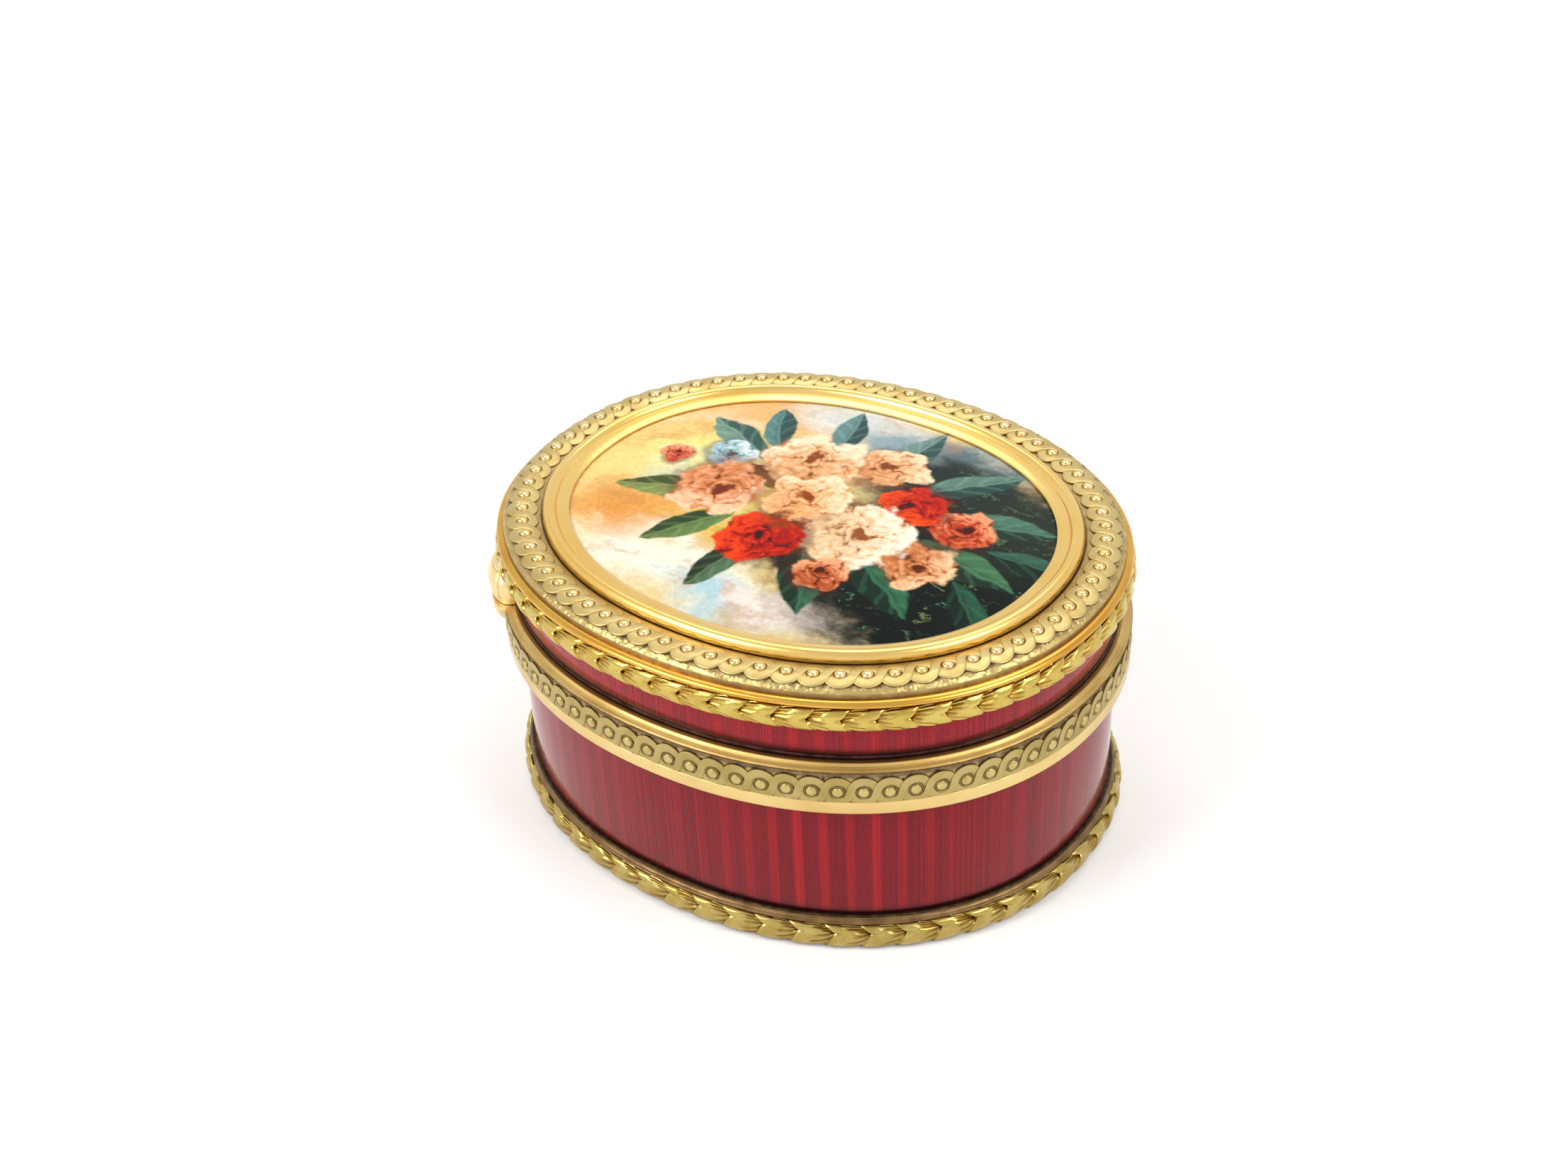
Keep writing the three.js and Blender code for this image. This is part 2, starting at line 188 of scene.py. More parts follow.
def linear(code):
    """A linear colour from an sRGB hex code."""
    parts = [int(code[k:k + 2], 16) / 255 for k in (1, 3, 5)]
    return (*[p / 12.92 if p <= 0.04045 else ((p + 0.055) / 1.055) ** 2.4 for p in parts], 1.0)


# The property that the second word of a node's kind sets
MODES = {"Math": "operation", "VectorMath": "operation", "Mix": "data_type", "MapRange": "interpolation_type",
         "TexWhiteNoise": "noise_dimensions", "VectorRotate": "rotation_type"}


def first_output(value):
    """The first output in use of a node. An output, a number or a colour stays as it is."""
    return next(s for s in value.outputs if s.enabled) if isinstance(value, bpy.types.Node) else value


def add(tree, kind, *values, **settings):
    """Adds a node, sets its mode and its properties, fills its inputs and returns it.

    kind is the end of the node's type and then its mode, such as "Math ADD". The values fill the inputs in use in
    their order, or one dict gives them by name. A value is a number, a colour, an output or a node.
    """
    kind, _, mode = kind.partition(" ")
    made = tree.nodes.new("ShaderNode" + kind)
    if mode:
        settings[MODES[kind]] = mode
    for name, value in settings.items():
        setattr(made, name, value)
    if values and isinstance(values[0], dict):
        filled = [(made.inputs[name], value) for name, value in values[0].items()]
    else:
        filled = list(zip([socket for socket in made.inputs if socket.enabled], values))
    for socket, value in filled:
        value = first_output(value)
        if isinstance(value, bpy.types.NodeSocket):
            tree.links.new(value, socket)
        else:
            socket.default_value = value
    return made


def start_material(name):
    material = bpy.data.materials.new(name)
    material.use_nodes = True
    material.node_tree.nodes.clear()
    return material, material.node_tree


def grain(tree, size, detail=3.0, roughness=0.5):
    """Noise whose patches are about size millimetres across, on the piece's own coordinates."""
    where = add(tree, "TexCoord").outputs["Object"]
    return add(tree, "TexNoise", {"Vector": where, "Scale": 1 / (size * MM), "Detail": detail,
                                  "Roughness": roughness})


# The way round a ring in millimetres, near enough for the length of streaks
ROUND_LENGTH = 240


def streaks(tree, length, width, detail=3.0):
    """Noise drawn out along a ring: streaks about length by width millimetres."""
    around = add(tree, "UVMap", uv_map="around")
    moved = add(tree, "VectorMath MULTIPLY", around, (ROUND_LENGTH / length, 1 / width, 1.0))
    return add(tree, "TexNoise", {"Vector": moved, "Scale": 1.0, "Detail": detail})


# Nearly black in the deepest cuts and crevices: old wax and dirt, with painted shade
NEARLY_BLACK = "#2A1206"


def gilt(name, colour, cloud_colour, dark_colour, roughness, grit, grit_depth, cloud=6.0, stains=0.0,
         stain_size=0.55, drawn=None, drawn_depth=0.0, drawn_tone=0.0):
    """Gilt metal with cloudy colour, fine grit, and brown darkening where the piece says so: grime in its sunk
    places, and painted shade in crevices, under overhangs and on sides turned from the light.

    Darkening 0 to 1 goes to the dark colour, and 1 to 2 goes on to nearly black. cloud, stain_size and grit are
    sizes in millimetres, and grit_depth and drawn_depth are depths. drawn is the (length, width) of streaks along a
    ring, for turned and drawn mouldings.
    """
    material, tree = start_material(name)
    clouds = add(tree, "MapRange SMOOTHSTEP", grain(tree, cloud, 4), 0.35, 0.7)
    base = add(tree, "Mix RGBA", clouds, linear(colour), linear(cloud_colour))
    # The piece's per-point darkening holds real dirt and painted shade together
    tone = add(tree, "Attribute", attribute_name="dirt_and_shade").outputs["Fac"]
    uneven = add(tree, "Math MULTIPLY_ADD", grain(tree, 0.9, 5), 1.0, 0.5)
    uneven = add(tree, "Math MULTIPLY", tone, uneven)
    darkened = add(tree, "MapRange SMOOTHSTEP", uneven, 0.05, 1.0)
    height = grain(tree, grit, 3)
    if drawn:
        lines = streaks(tree, *drawn)
        height = add(tree, "Math MULTIPLY_ADD", lines, drawn_depth / grit_depth, height)
        drawn_dirt = add(tree, "MapRange SMOOTHSTEP", lines, 0.5, 0.68, 0.0, drawn_tone)
        base = add(tree, "Mix RGBA", drawn_dirt, base, linear(dark_colour))
    base = add(tree, "Mix RGBA", darkened, base, linear(dark_colour))
    if stains:
        pits = add(tree, "MapRange SMOOTHSTEP", grain(tree, stain_size, 6, 0.65), 0.6, 0.72, 0.0, stains)
        base = add(tree, "Mix RGBA", pits, base, linear(dark_colour))
    black = add(tree, "MapRange SMOOTHSTEP", tone, 1.05, 1.8)
    base = add(tree, "Mix RGBA", black, base, linear(NEARLY_BLACK))
    rough = add(tree, "Math MULTIPLY_ADD", clouds, 0.08, roughness)
    rough = add(tree, "Math MULTIPLY_ADD", darkened, 0.15, rough)
    bump = add(tree, "Bump", {"Height": height, "Strength": 1.0, "Distance": grit_depth * MM})
    shader = add(tree, "BsdfPrincipled", {"Base Color": base, "Metallic": 1.0, "Roughness": rough, "Normal": bump})
    add(tree, "OutputMaterial", shader)
    return material


# Gold that was turned and burnished smooth: a soft mirror with slow clouds of colour from handling.
polished_gold = gilt("polished_gold", "#F0CD7E", "#E8BD66", "#80561F", 0.2, 1.2, 0.001, cloud=11)
# The cordon was drawn through a die. It is yellower, and its lower side is painted brown as shade.
drawn_gold = gilt("drawn_gold", "#DCAE50", "#CF963E", "#8A4A1C", 0.2, 0.8, 0.001, cloud=7, stains=0.15,
                  drawn=(16, 0.3), drawn_depth=0.003, drawn_tone=0.25)
# The mouth rim is paler and satin, with brown lines where fingers do not reach.
rim_gold = gilt("rim_gold", "#D0B06C", "#BE9C5A", "#5E4226", 0.36, 0.5, 0.002, cloud=5, stains=0.2,
                drawn=(12, 0.22), drawn_depth=0.003, drawn_tone=0.4)
# The thumbpiece is satin and paler than the rest, worn by the touch of fingers.
thumb_gold = gilt("thumb_gold", "#F2D9A2", "#EACA8E", "#A87C4C", 0.34, 0.5, 0.002, cloud=4)
# Satin gold under the lid and inside the box: rubbed, never buffed.
lining_gold = gilt("lining_gold", "#E6C47C", "#D9B265", "#6B4A20", 0.3, 0.2, 0.004, cloud=12)
# Ribbon matted with a fine punch: soft and pale, grey-brown in the sunk places from dirt and painted shade.
matted_gold = gilt("matted_gold", "#C8B276", "#BCA466", "#7A6440", 0.38, 0.16, 0.006, cloud=3.5, stains=0.25,
                   stain_size=1.1)
# The body's ribbon is duller and greener than the lid's.
band_gold = gilt("band_gold", "#B6A268", "#A79355", "#6A5836", 0.36, 0.16, 0.006, cloud=3.5, stains=0.25,
                 stain_size=1.1)
# The ground round the ribbon is duller, and grey dirt sits in it.
ground_gold = gilt("ground_gold", "#C8B070", "#B69C62", "#6E5C4A", 0.33, 0.22, 0.008, cloud=1.6, stains=0.6,
                   stain_size=0.8)
# Leaves cut with a graver and burnished: bright facets with orange-brown toning in the cuts.
chased_gold = gilt("chased_gold", "#CAB35F", "#BEA14C", "#98601E", 0.2, 0.25, 0.003, cloud=3, stains=0.25)
# The foot's leaves are greener, darker and more stained than the lid's.
foot_gold = gilt("foot_gold", "#C0AB65", "#AC944D", "#7A521E", 0.24, 0.25, 0.004, cloud=2, stains=0.5)
# Beads of the lid, struck and burnished bright.
bead_gold = gilt("bead_gold", "#E8CF94", "#DEBF7A", "#8A6228", 0.15, 0.3, 0.001, cloud=4)
# Beads of the body band, in one dull tone with the ribbon.
flat_bead_gold = gilt("flat_bead_gold", "#C6B274", "#B69E5E", "#4E3614", 0.3, 0.3, 0.003, cloud=1.5)
# The plain strip under the ribbon: pale satin gold with a few brown water stains.
pale_gold = gilt("pale_gold", "#DFC583", "#D5B473", "#A07440", 0.27, 0.3, 0.001, cloud=8, stains=0.3,
                 stain_size=1.4)
# The base fillet is toned nearly brown, with lengthwise scratches from handling.
brown_gold = gilt("brown_gold", "#90724C", "#765B38", "#33241A", 0.33, 0.25, 0.004, cloud=2.5, stains=0.5,
                  drawn=(5, 0.12), drawn_depth=0.01, drawn_tone=0.6)
# The strip under the lid's enamel is painted black-brown: old wax, and painted shade in the narrow gap between lid
# and rim. Small chips of it catch the light.
wax_and_shade_gold = gilt("wax_and_shade_gold", "#56363A", "#362228", "#1A0D0C", 0.35, 0.2, 0.01, cloud=1.2, drawn=(2.5, 0.15),
                 drawn_depth=0.01, drawn_tone=0.6)


# Enamel

# Stripes round the box, and the place of the first one
STRIPE_COUNT = 75
STRIPE_PHASE = 0.22
# Half of the bright band and its soft edge, as shares of a stripe
BAND_HALF_SHARE = 0.18
BAND_SOFT_SHARE = 0.06
LINES_PER_STRIPE = 9
# Places round the box where the bands stand out, as a painted reflection of the engine-turned ground
REFLECTION_WAVES = 4
REFLECTION_PHASE = 0.845
# Colours of the bright bands, of the fine lines, and of the painted shade along the edges
BAND_RED = "#B81E24"
LINE_RED = "#400C14"
EDGE_SHADE_RED = "#2C0A10"


def from_middle(tree, units):
    """How far a place is from the middle of its unit."""
    return add(tree, "Math ABSOLUTE", add(tree, "Math SUBTRACT", add(tree, "Math FRACT", units), 0.5))


def red_enamel(name, low, high, shade_height, deep, deeper):
    """Glassy red enamel over engine turning: a broad bright band, then fine dark lines, all upright.

    The bands stand out in some places round the box and the fine lines in others, a painted reflection of the
    engine-turned ground that stays fixed to the box. low and high bound the skin, and shade_height is how far down
    from its top the bands fade in painted shade. deep and deeper are the colours between the bands, where these
    stand out and where they do not.
    """
    material, tree = start_material(name)
    around = add(tree, "UVMap", uv_map="around")
    share = add(tree, "SeparateXYZ", around)
    where = add(tree, "TexCoord").outputs["Object"]
    up = add(tree, "SeparateXYZ", where).outputs["Z"]
    turns = add(tree, "Math MULTIPLY_ADD", share, float(STRIPE_COUNT), 0.5 - STRIPE_PHASE)
    from_band = from_middle(tree, turns)
    chance = add(tree, "TexWhiteNoise 1D", add(tree, "Math FLOOR", turns))
    wave = add(tree, "Math MULTIPLY_ADD", share, 2 * math.pi * REFLECTION_WAVES, -2 * math.pi * REFLECTION_WAVES * REFLECTION_PHASE)
    wave = add(tree, "Math COSINE", wave)
    reflection_bars = add(tree, "Math MULTIPLY_ADD", grain(tree, 9, 2), 1.0, wave)
    reflection_bars = add(tree, "MapRange SMOOTHSTEP", reflection_bars, 0.0, 1.4)
    band = add(tree, "MapRange SMOOTHSTEP", from_band, BAND_HALF_SHARE - BAND_SOFT_SHARE,
               BAND_HALF_SHARE + BAND_SOFT_SHARE, 1.0, 0.0)
    # The fine lines, each cut to its own depth and worn in places
    fine = add(tree, "Math MULTIPLY_ADD", turns, float(LINES_PER_STRIPE), 0.5)
    depth = add(tree, "TexWhiteNoise 1D", add(tree, "Math FLOOR", fine))
    lines = add(tree, "MapRange SMOOTHSTEP", from_middle(tree, fine), 0.1, 0.34, 1.0, 0.0)
    lines = add(tree, "Math MULTIPLY", lines, add(tree, "Math POWER", depth, 1.1))
    worn = add(tree, "MapRange SMOOTHSTEP", grain(tree, 0.5, 3), 0.25, 0.6, 0.6, 1.0)
    lines = add(tree, "Math MULTIPLY", lines, worn)
    lines = add(tree, "Math MULTIPLY", lines, add(tree, "Math MULTIPLY_ADD", reflection_bars, -0.55, 1.0))
    # The brightness of the bands: it differs at random from stripe to stripe, carries the painted reflection, and
    # fades in painted shade under the upper edge
    upper = add(tree, "MapRange SMOOTHSTEP", up, (high - shade_height) * MM, high * MM, 1.0, 0.6)
    glow = add(tree, "Math MULTIPLY", add(tree, "Math MULTIPLY_ADD", chance, 0.35, 0.5), upper)
    glow = add(tree, "Math MULTIPLY", glow, add(tree, "Math MULTIPLY_ADD", reflection_bars, 0.85, 0.15))
    level = add(tree, "Math MULTIPLY", band, glow)
    ground = add(tree, "Mix RGBA", reflection_bars, linear(deep), linear(deeper))
    base = add(tree, "Mix RGBA", level, ground, linear(BAND_RED))
    base = add(tree, "Mix RGBA", add(tree, "Math MULTIPLY", lines, 0.95), base, linear(LINE_RED))
    # Painted shade: the enamel is darker along its lower and upper edges
    foot = add(tree, "MapRange SMOOTHSTEP", up, (low + 0.15) * MM, (low + 1.4) * MM)
    foot = add(tree, "Math POWER", foot, 0.6)
    head = add(tree, "MapRange SMOOTHSTEP", up, (high - 0.4 * shade_height) * MM, high * MM, 1.0, 0.6)
    edge = add(tree, "Math MINIMUM", foot, head)
    base = add(tree, "Mix RGBA", edge, linear(EDGE_SHADE_RED), base)
    mottle = add(tree, "MapRange SMOOTHSTEP", grain(tree, 0.3, 4), 0.3, 0.7, 0.86, 1.1)
    base = add(tree, "HueSaturation", {"Value": mottle, "Color": base})
    relief = add(tree, "Math SUBTRACT", band, lines)
    bump = add(tree, "Bump", {"Height": relief, "Strength": 0.5, "Distance": 0.04 * MM})
    shader = add(tree, "BsdfPrincipled", {
        "Base Color": base, "Metallic": 0.3, "Roughness": 0.45, "Specular IOR Level": 0.05, "Normal": bump,
        "Coat Weight": 1.0, "Coat Roughness": 0.05, "Coat IOR": 1.24})
    add(tree, "OutputMaterial", shader)
    return material


# Body

enamel_low, enamel_high = heights("body_enamel")
band_low, band_high = heights("body_ribbon_band")
rim_low, rim_high = heights("body_rim")
band_face = reach("body_ribbon_band")
wall_outside = reach("body_wall")
enamel_face = reach("body_enamel")
WALL_THICKNESS = 0.8
LIP_THICKNESS = 0.6
LIP_EDGE = 0.12
# The lid's wall is thinner than the body's by this, and so clears the lip
LID_CLEARANCE = 0.2
wall_inside = wall_outside - WALL_THICKNESS
EDGE = 0.06
STRIP_EDGE = 0.1

body_enamel = red_enamel("red_enamel", enamel_low, enamel_high, shade_height=2.5, deep="#901A22", deeper="#841822")
# The lid's enamel is painted lighter than the body's, against the shade that the leaves above cast on it
lid_enamel = red_enamel("red_enamel_of_the_lid", *heights("lid_enamel"), shade_height=0.6, deep="#A4202A",
                        deeper="#981E28")


def box_section(inside, outside, low, high, radius=EDGE):
    return soften([(inside, low), (outside, low), (outside, high), (inside, high)], radius)


def make_walls():
    make_ring("body_shell", box_section(wall_inside, wall_outside, 0, rim_high), lining_gold, "polished_gold",
              "body", ["body_wall"])
    lip = box_section(wall_inside - LIP_THICKNESS, wall_inside, *heights("body_lip"), LIP_EDGE)
    make_ring("mouth_lip", lip, polished_gold, "polished_gold", "body", ["body_lip"])
    make_ring("body_enamel_skin", box_section(wall_outside, enamel_face, enamel_low, enamel_high), body_enamel,
              "red_enamel", "body", ["body_enamel"], along=enamel_face)


def make_plate(name, inside, body, node):
    """A flat plate that fills the oval from wall to wall."""
    low, high = heights(node)
    share = np.arange(RING_STEPS) / RING_STEPS
    rings = [place(share, inside, z) for z in (low, high)]
    points = np.concatenate([*rings, [[0, 0, high]], [[0, 0, low]]])
    top, bottom = 2 * RING_STEPS, 2 * RING_STEPS + 1
    faces = []
    for i in range(RING_STEPS):
        j = (i + 1) % RING_STEPS
        faces += [(i, j, RING_STEPS + j, RING_STEPS + i), (RING_STEPS + i, RING_STEPS + j, top), (j, i, bottom)]
    make_piece(name, points, faces, lining_gold, "polished_gold", body, [node])


# The steps of the fillet from its foot up, as (inwards, up)
FILLET_LINE = [(0, 0), (0, 0.22), (0.1, 0.32), (0.14, 0.62), (0.3, 0.7), (0.36, 0.98)]
# How far its last step lies inwards, and how high that step is
FILLET_BACK = 0.5
FILLET_TOP = 0.08
FILLET_EDGE = 0.05


def make_fillet():
    out = reach("base_fillet")
    low, high = heights("base_fillet")
    section = [(wall_outside, low), *((out - inward, low + up) for inward, up in FILLET_LINE),
               (out - FILLET_BACK, high - FILLET_TOP), (out - FILLET_BACK, high), (wall_outside, high)]

    def dirt_and_shade(offset, z):
        """Darker under the enamel and above the leaves."""
        return 0.8 if z > high - 0.25 or z < low + 0.1 else 0.15

    make_ring("foot_fillet", soften(section, FILLET_EDGE), brown_gold, "brown_gold", "body", ["base_fillet"],
              dirt_and_shade=dirt_and_shade)


BORDER_CHAMFER = 0.25


def make_border():
    low, high = heights("band_border")
    section = [(wall_outside, low), (band_face - BORDER_CHAMFER, low), (band_face, low + BORDER_CHAMFER),
               (band_face, high), (wall_outside, high)]
    make_ring("band_border_strip", soften(section, STRIP_EDGE), pale_gold, "pale_gold", "body", ["band_border"])


# Ribbon and bead

STRAND_STEPS = 46
CURVE_STEPS = 60
SMOOTHING_PASSES = 6
# Where a strand begins and ends beside a bead, in degrees from the band's direction
STRAND_END = 4
# The strands are hand-made: how far they stray in millimetres, and how much their widths differ as a share
SWAY = 0.014
SWELL = 0.02


def strand_line(pitch, across, low_side, high_side, half_middle, half_end, top, drop):
    """The centre line of one strand of the ribbon. It dips under one bead, crosses, and rises over the next.

    across is how far the line stands from a bead along the band, low_side and high_side below and above it.
    Returns places, sideways directions, half widths and heights.
    """
    lean = math.degrees(math.acos(min(0.97, 2 * across / pitch)))
    low = np.radians(np.linspace(180 - STRAND_END, 360 - lean, CURVE_STEPS))
    high = np.radians(np.linspace(180 - lean, STRAND_END, CURVE_STEPS))
    first = np.stack([across * np.cos(low), low_side * np.sin(low)], -1)
    last = np.stack([pitch + across * np.cos(high), high_side * np.sin(high)], -1)
    line = np.vstack([first, last])
    for _ in range(SMOOTHING_PASSES):
        line[1:-1] = (line[:-2] + 2 * line[1:-1] + line[2:]) / 4
    run = np.concatenate([[0], np.cumsum(np.linalg.norm(np.diff(line, axis=0), axis=1))])
    even = np.linspace(0, run[-1], STRAND_STEPS)
    line = np.stack([np.interp(even, run, line[:, k]) for k in (0, 1)], -1)
    along = np.gradient(line, axis=0)
    along /= np.linalg.norm(along, axis=1)[:, None]
    side = np.stack([along[:, 1], -along[:, 0]], -1)
    # 0 where the strand crosses, in its middle, and 1 at its ends
    to_end = np.abs(2 * even / run[-1] - 1)
    half = half_middle + (half_end - half_middle) * smooth_step(0.1, 0.5, to_end)
    return line, side, half, top - drop * to_end ** 2.2


def strand_section(foot):
    """The section of a strand as (share of the half width, step inwards, step down, darkening). The foot of its
    wall is darkened for grime and painted shade.
    """
    edge = [(1, 0, foot, 1.0), (1, 0, 0.14, 0.8), (1, 0.0, 0.06, 0.3), (1, 0.06, 0.01, 0.0), (0.5, 0, 0.0, 0.0)]
    return edge + [(-share, -inward, down, grime_and_shade) for share, inward, down, grime_and_shade in reversed(edge)]


def make_strands(name, count, phase, pitch, line, lay, finish, body, nodes, seed, foot):
    """All strands of a ribbon. lay(places along in pitches, places across, heights) gives points."""
    centre, side, half, height = line
    share, inward, down, grime_and_shade = np.array(strand_section(foot)).T
    chance = np.random.default_rng(seed)
    rows, cols = len(centre), len(share)
    points = []
    for n in range(count):
        sway = chance.normal(0, SWAY, 3)
        swell = 1 + chance.normal(0, SWELL)
        reach_out = share * half[:, None] * swell - inward
        x = centre[:, :1] + side[:, :1] * reach_out + sway[0]
        y = centre[:, 1:] + side[:, 1:] * reach_out + sway[1]
        z = height[:, None] - down + sway[2] * 0.5
        points.append(lay(n + phase + x / pitch, y, z).reshape(-1, 3))
    faces = np.concatenate([sheet_faces(rows, cols) + n * rows * cols for n in range(count)])
    make_piece(name, np.concatenate(points), faces, finish, "matte_gold", body, nodes, np.tile(grime_and_shade, rows * count),
               crease=50)


BEAD_SIDES = 22


def make_beads(name, count, phase, pitch, profile, level, lay, finish, body, nodes):
    """One turned bead at each unit. The profile is (radius, height over the level, darkening), from outside in."""
    turns = np.arange(BEAD_SIDES) * 2 * np.pi / BEAD_SIDES
    radii, rises, grime_and_shade = np.array(profile).T
    x = np.append(np.outer(radii, np.cos(turns)), 0)
    y = np.append(np.outer(radii, np.sin(turns)), 0)
    z = np.append(np.repeat(level + rises, BEAD_SIDES), level + rises[-1])
    tone = np.append(np.repeat(grime_and_shade, BEAD_SIDES), grime_and_shade[-1])
    last, middle = (len(profile) - 1) * BEAD_SIDES, len(x) - 1
    one = [*sheet_faces(len(profile), BEAD_SIDES, closed_cols=True)]
    one += [(last + i, last + (i + 1) % BEAD_SIDES, middle) for i in range(BEAD_SIDES)]
    points = [lay(n + phase + x / pitch, y, z) for n in range(count)]
    faces = [tuple(v + n * len(x) for v in face) for n in range(count) for face in one]
    make_piece(name, np.concatenate(points), faces, finish, "polished_gold", body, nodes, np.tile(tone, count),
               crease=50)


# Body band: each bead is a flat dome in a round socket painted dark for dirt and painted shade, with a thin inner
# ring.
BAND_BEADS = 81
BAND_PHASE = 0.895
BAND_BEAD_Z = 25.17
# How deep the ground lies behind the ribbon, and how far it goes up under the rim's shoulder
BAND_GROUND = 0.3
BAND_TOP = 0.2
GROUND_LEVELS = 14
GROUND_DENTS = 0.05
BAND_BEAD = [
    (0.99, -0.2, 0.8), (0.96, 0.005, 0.4), (0.93, 0.01, 0.3), (0.89, -0.1, 0.9), (0.84, -0.1, 0.8),
    (0.81, -0.03, 0.2), (0.76, -0.03, 0.2), (0.73, -0.15, 1.2), (0.69, -0.15, 1.2), (0.655, -0.03, 0.3),
    (0.6, 0.03, 0), (0.5, 0.08, 0), (0.33, 0.12, 0), (0.15, 0.13, 0),
]


def make_band_ground(ground):
    """The sunk ground of the body band, hand-levelled, darker all over and darker still under the rim."""
    steps = RING_STEPS * 2
    share = np.arange(steps)[:, None] / steps
    levels = np.concatenate([[band_low], np.linspace(band_low + 0.1, band_high + BAND_TOP, GROUND_LEVELS)])
    rough = np.random.default_rng(8).normal(0, GROUND_DENTS, (steps, len(levels)))
    rough[:, -1] = 0
    face = place(share, ground + rough, levels[None, :], band_face)
    back = place(share, wall_outside, levels[None, ::-1])
    points = np.concatenate([face, back], 1)
    tone = np.full(points.shape[:2], 0.35)
    tone[:, len(levels) - 3:len(levels)] = 0.75
    faces = sheet_faces(*points.shape[:2], True, True)[:, OVER]
    make_piece("band_ground", points.reshape(-1, 3), faces, ground_gold, "matte_gold", "body",
               ["body_ribbon_band"], tone, crease=25)


def make_body_band():
    ground = band_face - BAND_GROUND
    pitch = arc_table(band_face)[1][-1] / BAND_BEADS
    below = BAND_BEAD_Z - band_low

    def lay(units, across, height):
        return place(units / BAND_BEADS, ground + height, BAND_BEAD_Z + np.maximum(across, -below), band_face)

    make_band_ground(ground)
    line = strand_line(pitch, across=1.47, low_side=1.44, high_side=1.58, half_middle=0.5, half_end=0.6,
                       top=BAND_GROUND + 0.02, drop=0.2)
    make_strands("band_ribbon", BAND_BEADS, BAND_PHASE, pitch, line, lay, band_gold, "body", ["body_ribbon_band"],
                 seed=5, foot=0.6)
    make_beads("band_beads", BAND_BEADS, BAND_PHASE, pitch, BAND_BEAD, BAND_GROUND, lay, flat_bead_gold, "body",
               ["body_ribbon_band"])


# Lid top: the ribbon is crowned, so its outer edges lie lower than its middle.
LID_BEADS = 72
LID_PHASE = 0.5
BEAD_LINE = -0.22
CROWN = 0.38
# The crown is flat for this far on both sides of the beads
CROWN_FLAT = 0.7
RIBBON_HALF = 2.02
RIBBON_RISE = 0.12
# Each lid bead sits in a round socket painted darker for dirt and painted shade in the hole
LID_BEAD = [
    (0.98, -0.3, 0.6), (0.86, -0.13, 0.3), (0.81, -0.1, 0.1), (0.77, -0.2, 0.9), (0.72, -0.22, 0.9),
    (0.69, -0.1, 0.3), (0.64, 0.03, 0), (0.54, 0.13, 0), (0.4, 0.2, 0), (0.25, 0.24, 0), (0.1, 0.26, 0),
]


def make_top_ribbon():
    low, high = heights("lid_ribbon_band")
    pitch = arc_table(0.0)[1][-1] / LID_BEADS
    crest = high - low + RIBBON_RISE

    def lay(units, inwards, height):
        fall = CROWN * np.clip((np.abs(inwards) - CROWN_FLAT) / (RIBBON_HALF - CROWN_FLAT), 0, 1.4)
        return place(units / LID_BEADS, BEAD_LINE - inwards, low + height - fall)

    line = strand_line(pitch, across=1.43, low_side=1.42, high_side=1.42, half_middle=0.58, half_end=0.6,
                       top=crest, drop=0.14)
    make_strands("lid_ribbon", LID_BEADS, LID_PHASE, pitch, line, lay, matted_gold, "lid", ["lid_ribbon_band"],
                 seed=3, foot=1.0)
    make_beads("lid_beads", LID_BEADS, LID_PHASE, pitch, LID_BEAD, crest, lay, bead_gold, "lid",
               ["lid_ribbon_band"])


# Laurel mouldings. Along a leaf x goes from 0 at its root to 1 at its notch, and b goes from -1 to 1 across it.

LEAF_ROWS = 30
RAYS = 7
LINES_PER_RAY = 6
LEAF_COLS = RAYS * LINES_PER_RAY + 1
# How much further than the notch the tails of a leaf reach, in leaves
LEAF_TAIL = 0.4
ROOT_DEPTH = 0.2
RAY_DEPTH = 0.2
NOTCH_DEPTH = 0.13
TAIL_DEPTH = 0.1
LOBE_SWELL = 0.09
LEAF_FOOT = -0.62
# How much the leaves differ: their places and rays in leaves, their depths as a share, their lobes in millimetres
LEAF_STRAY = 0.012
RAY_STRAY = 0.02
DEPTH_STRAY = 0.15
LOBE_STRAY = 0.02


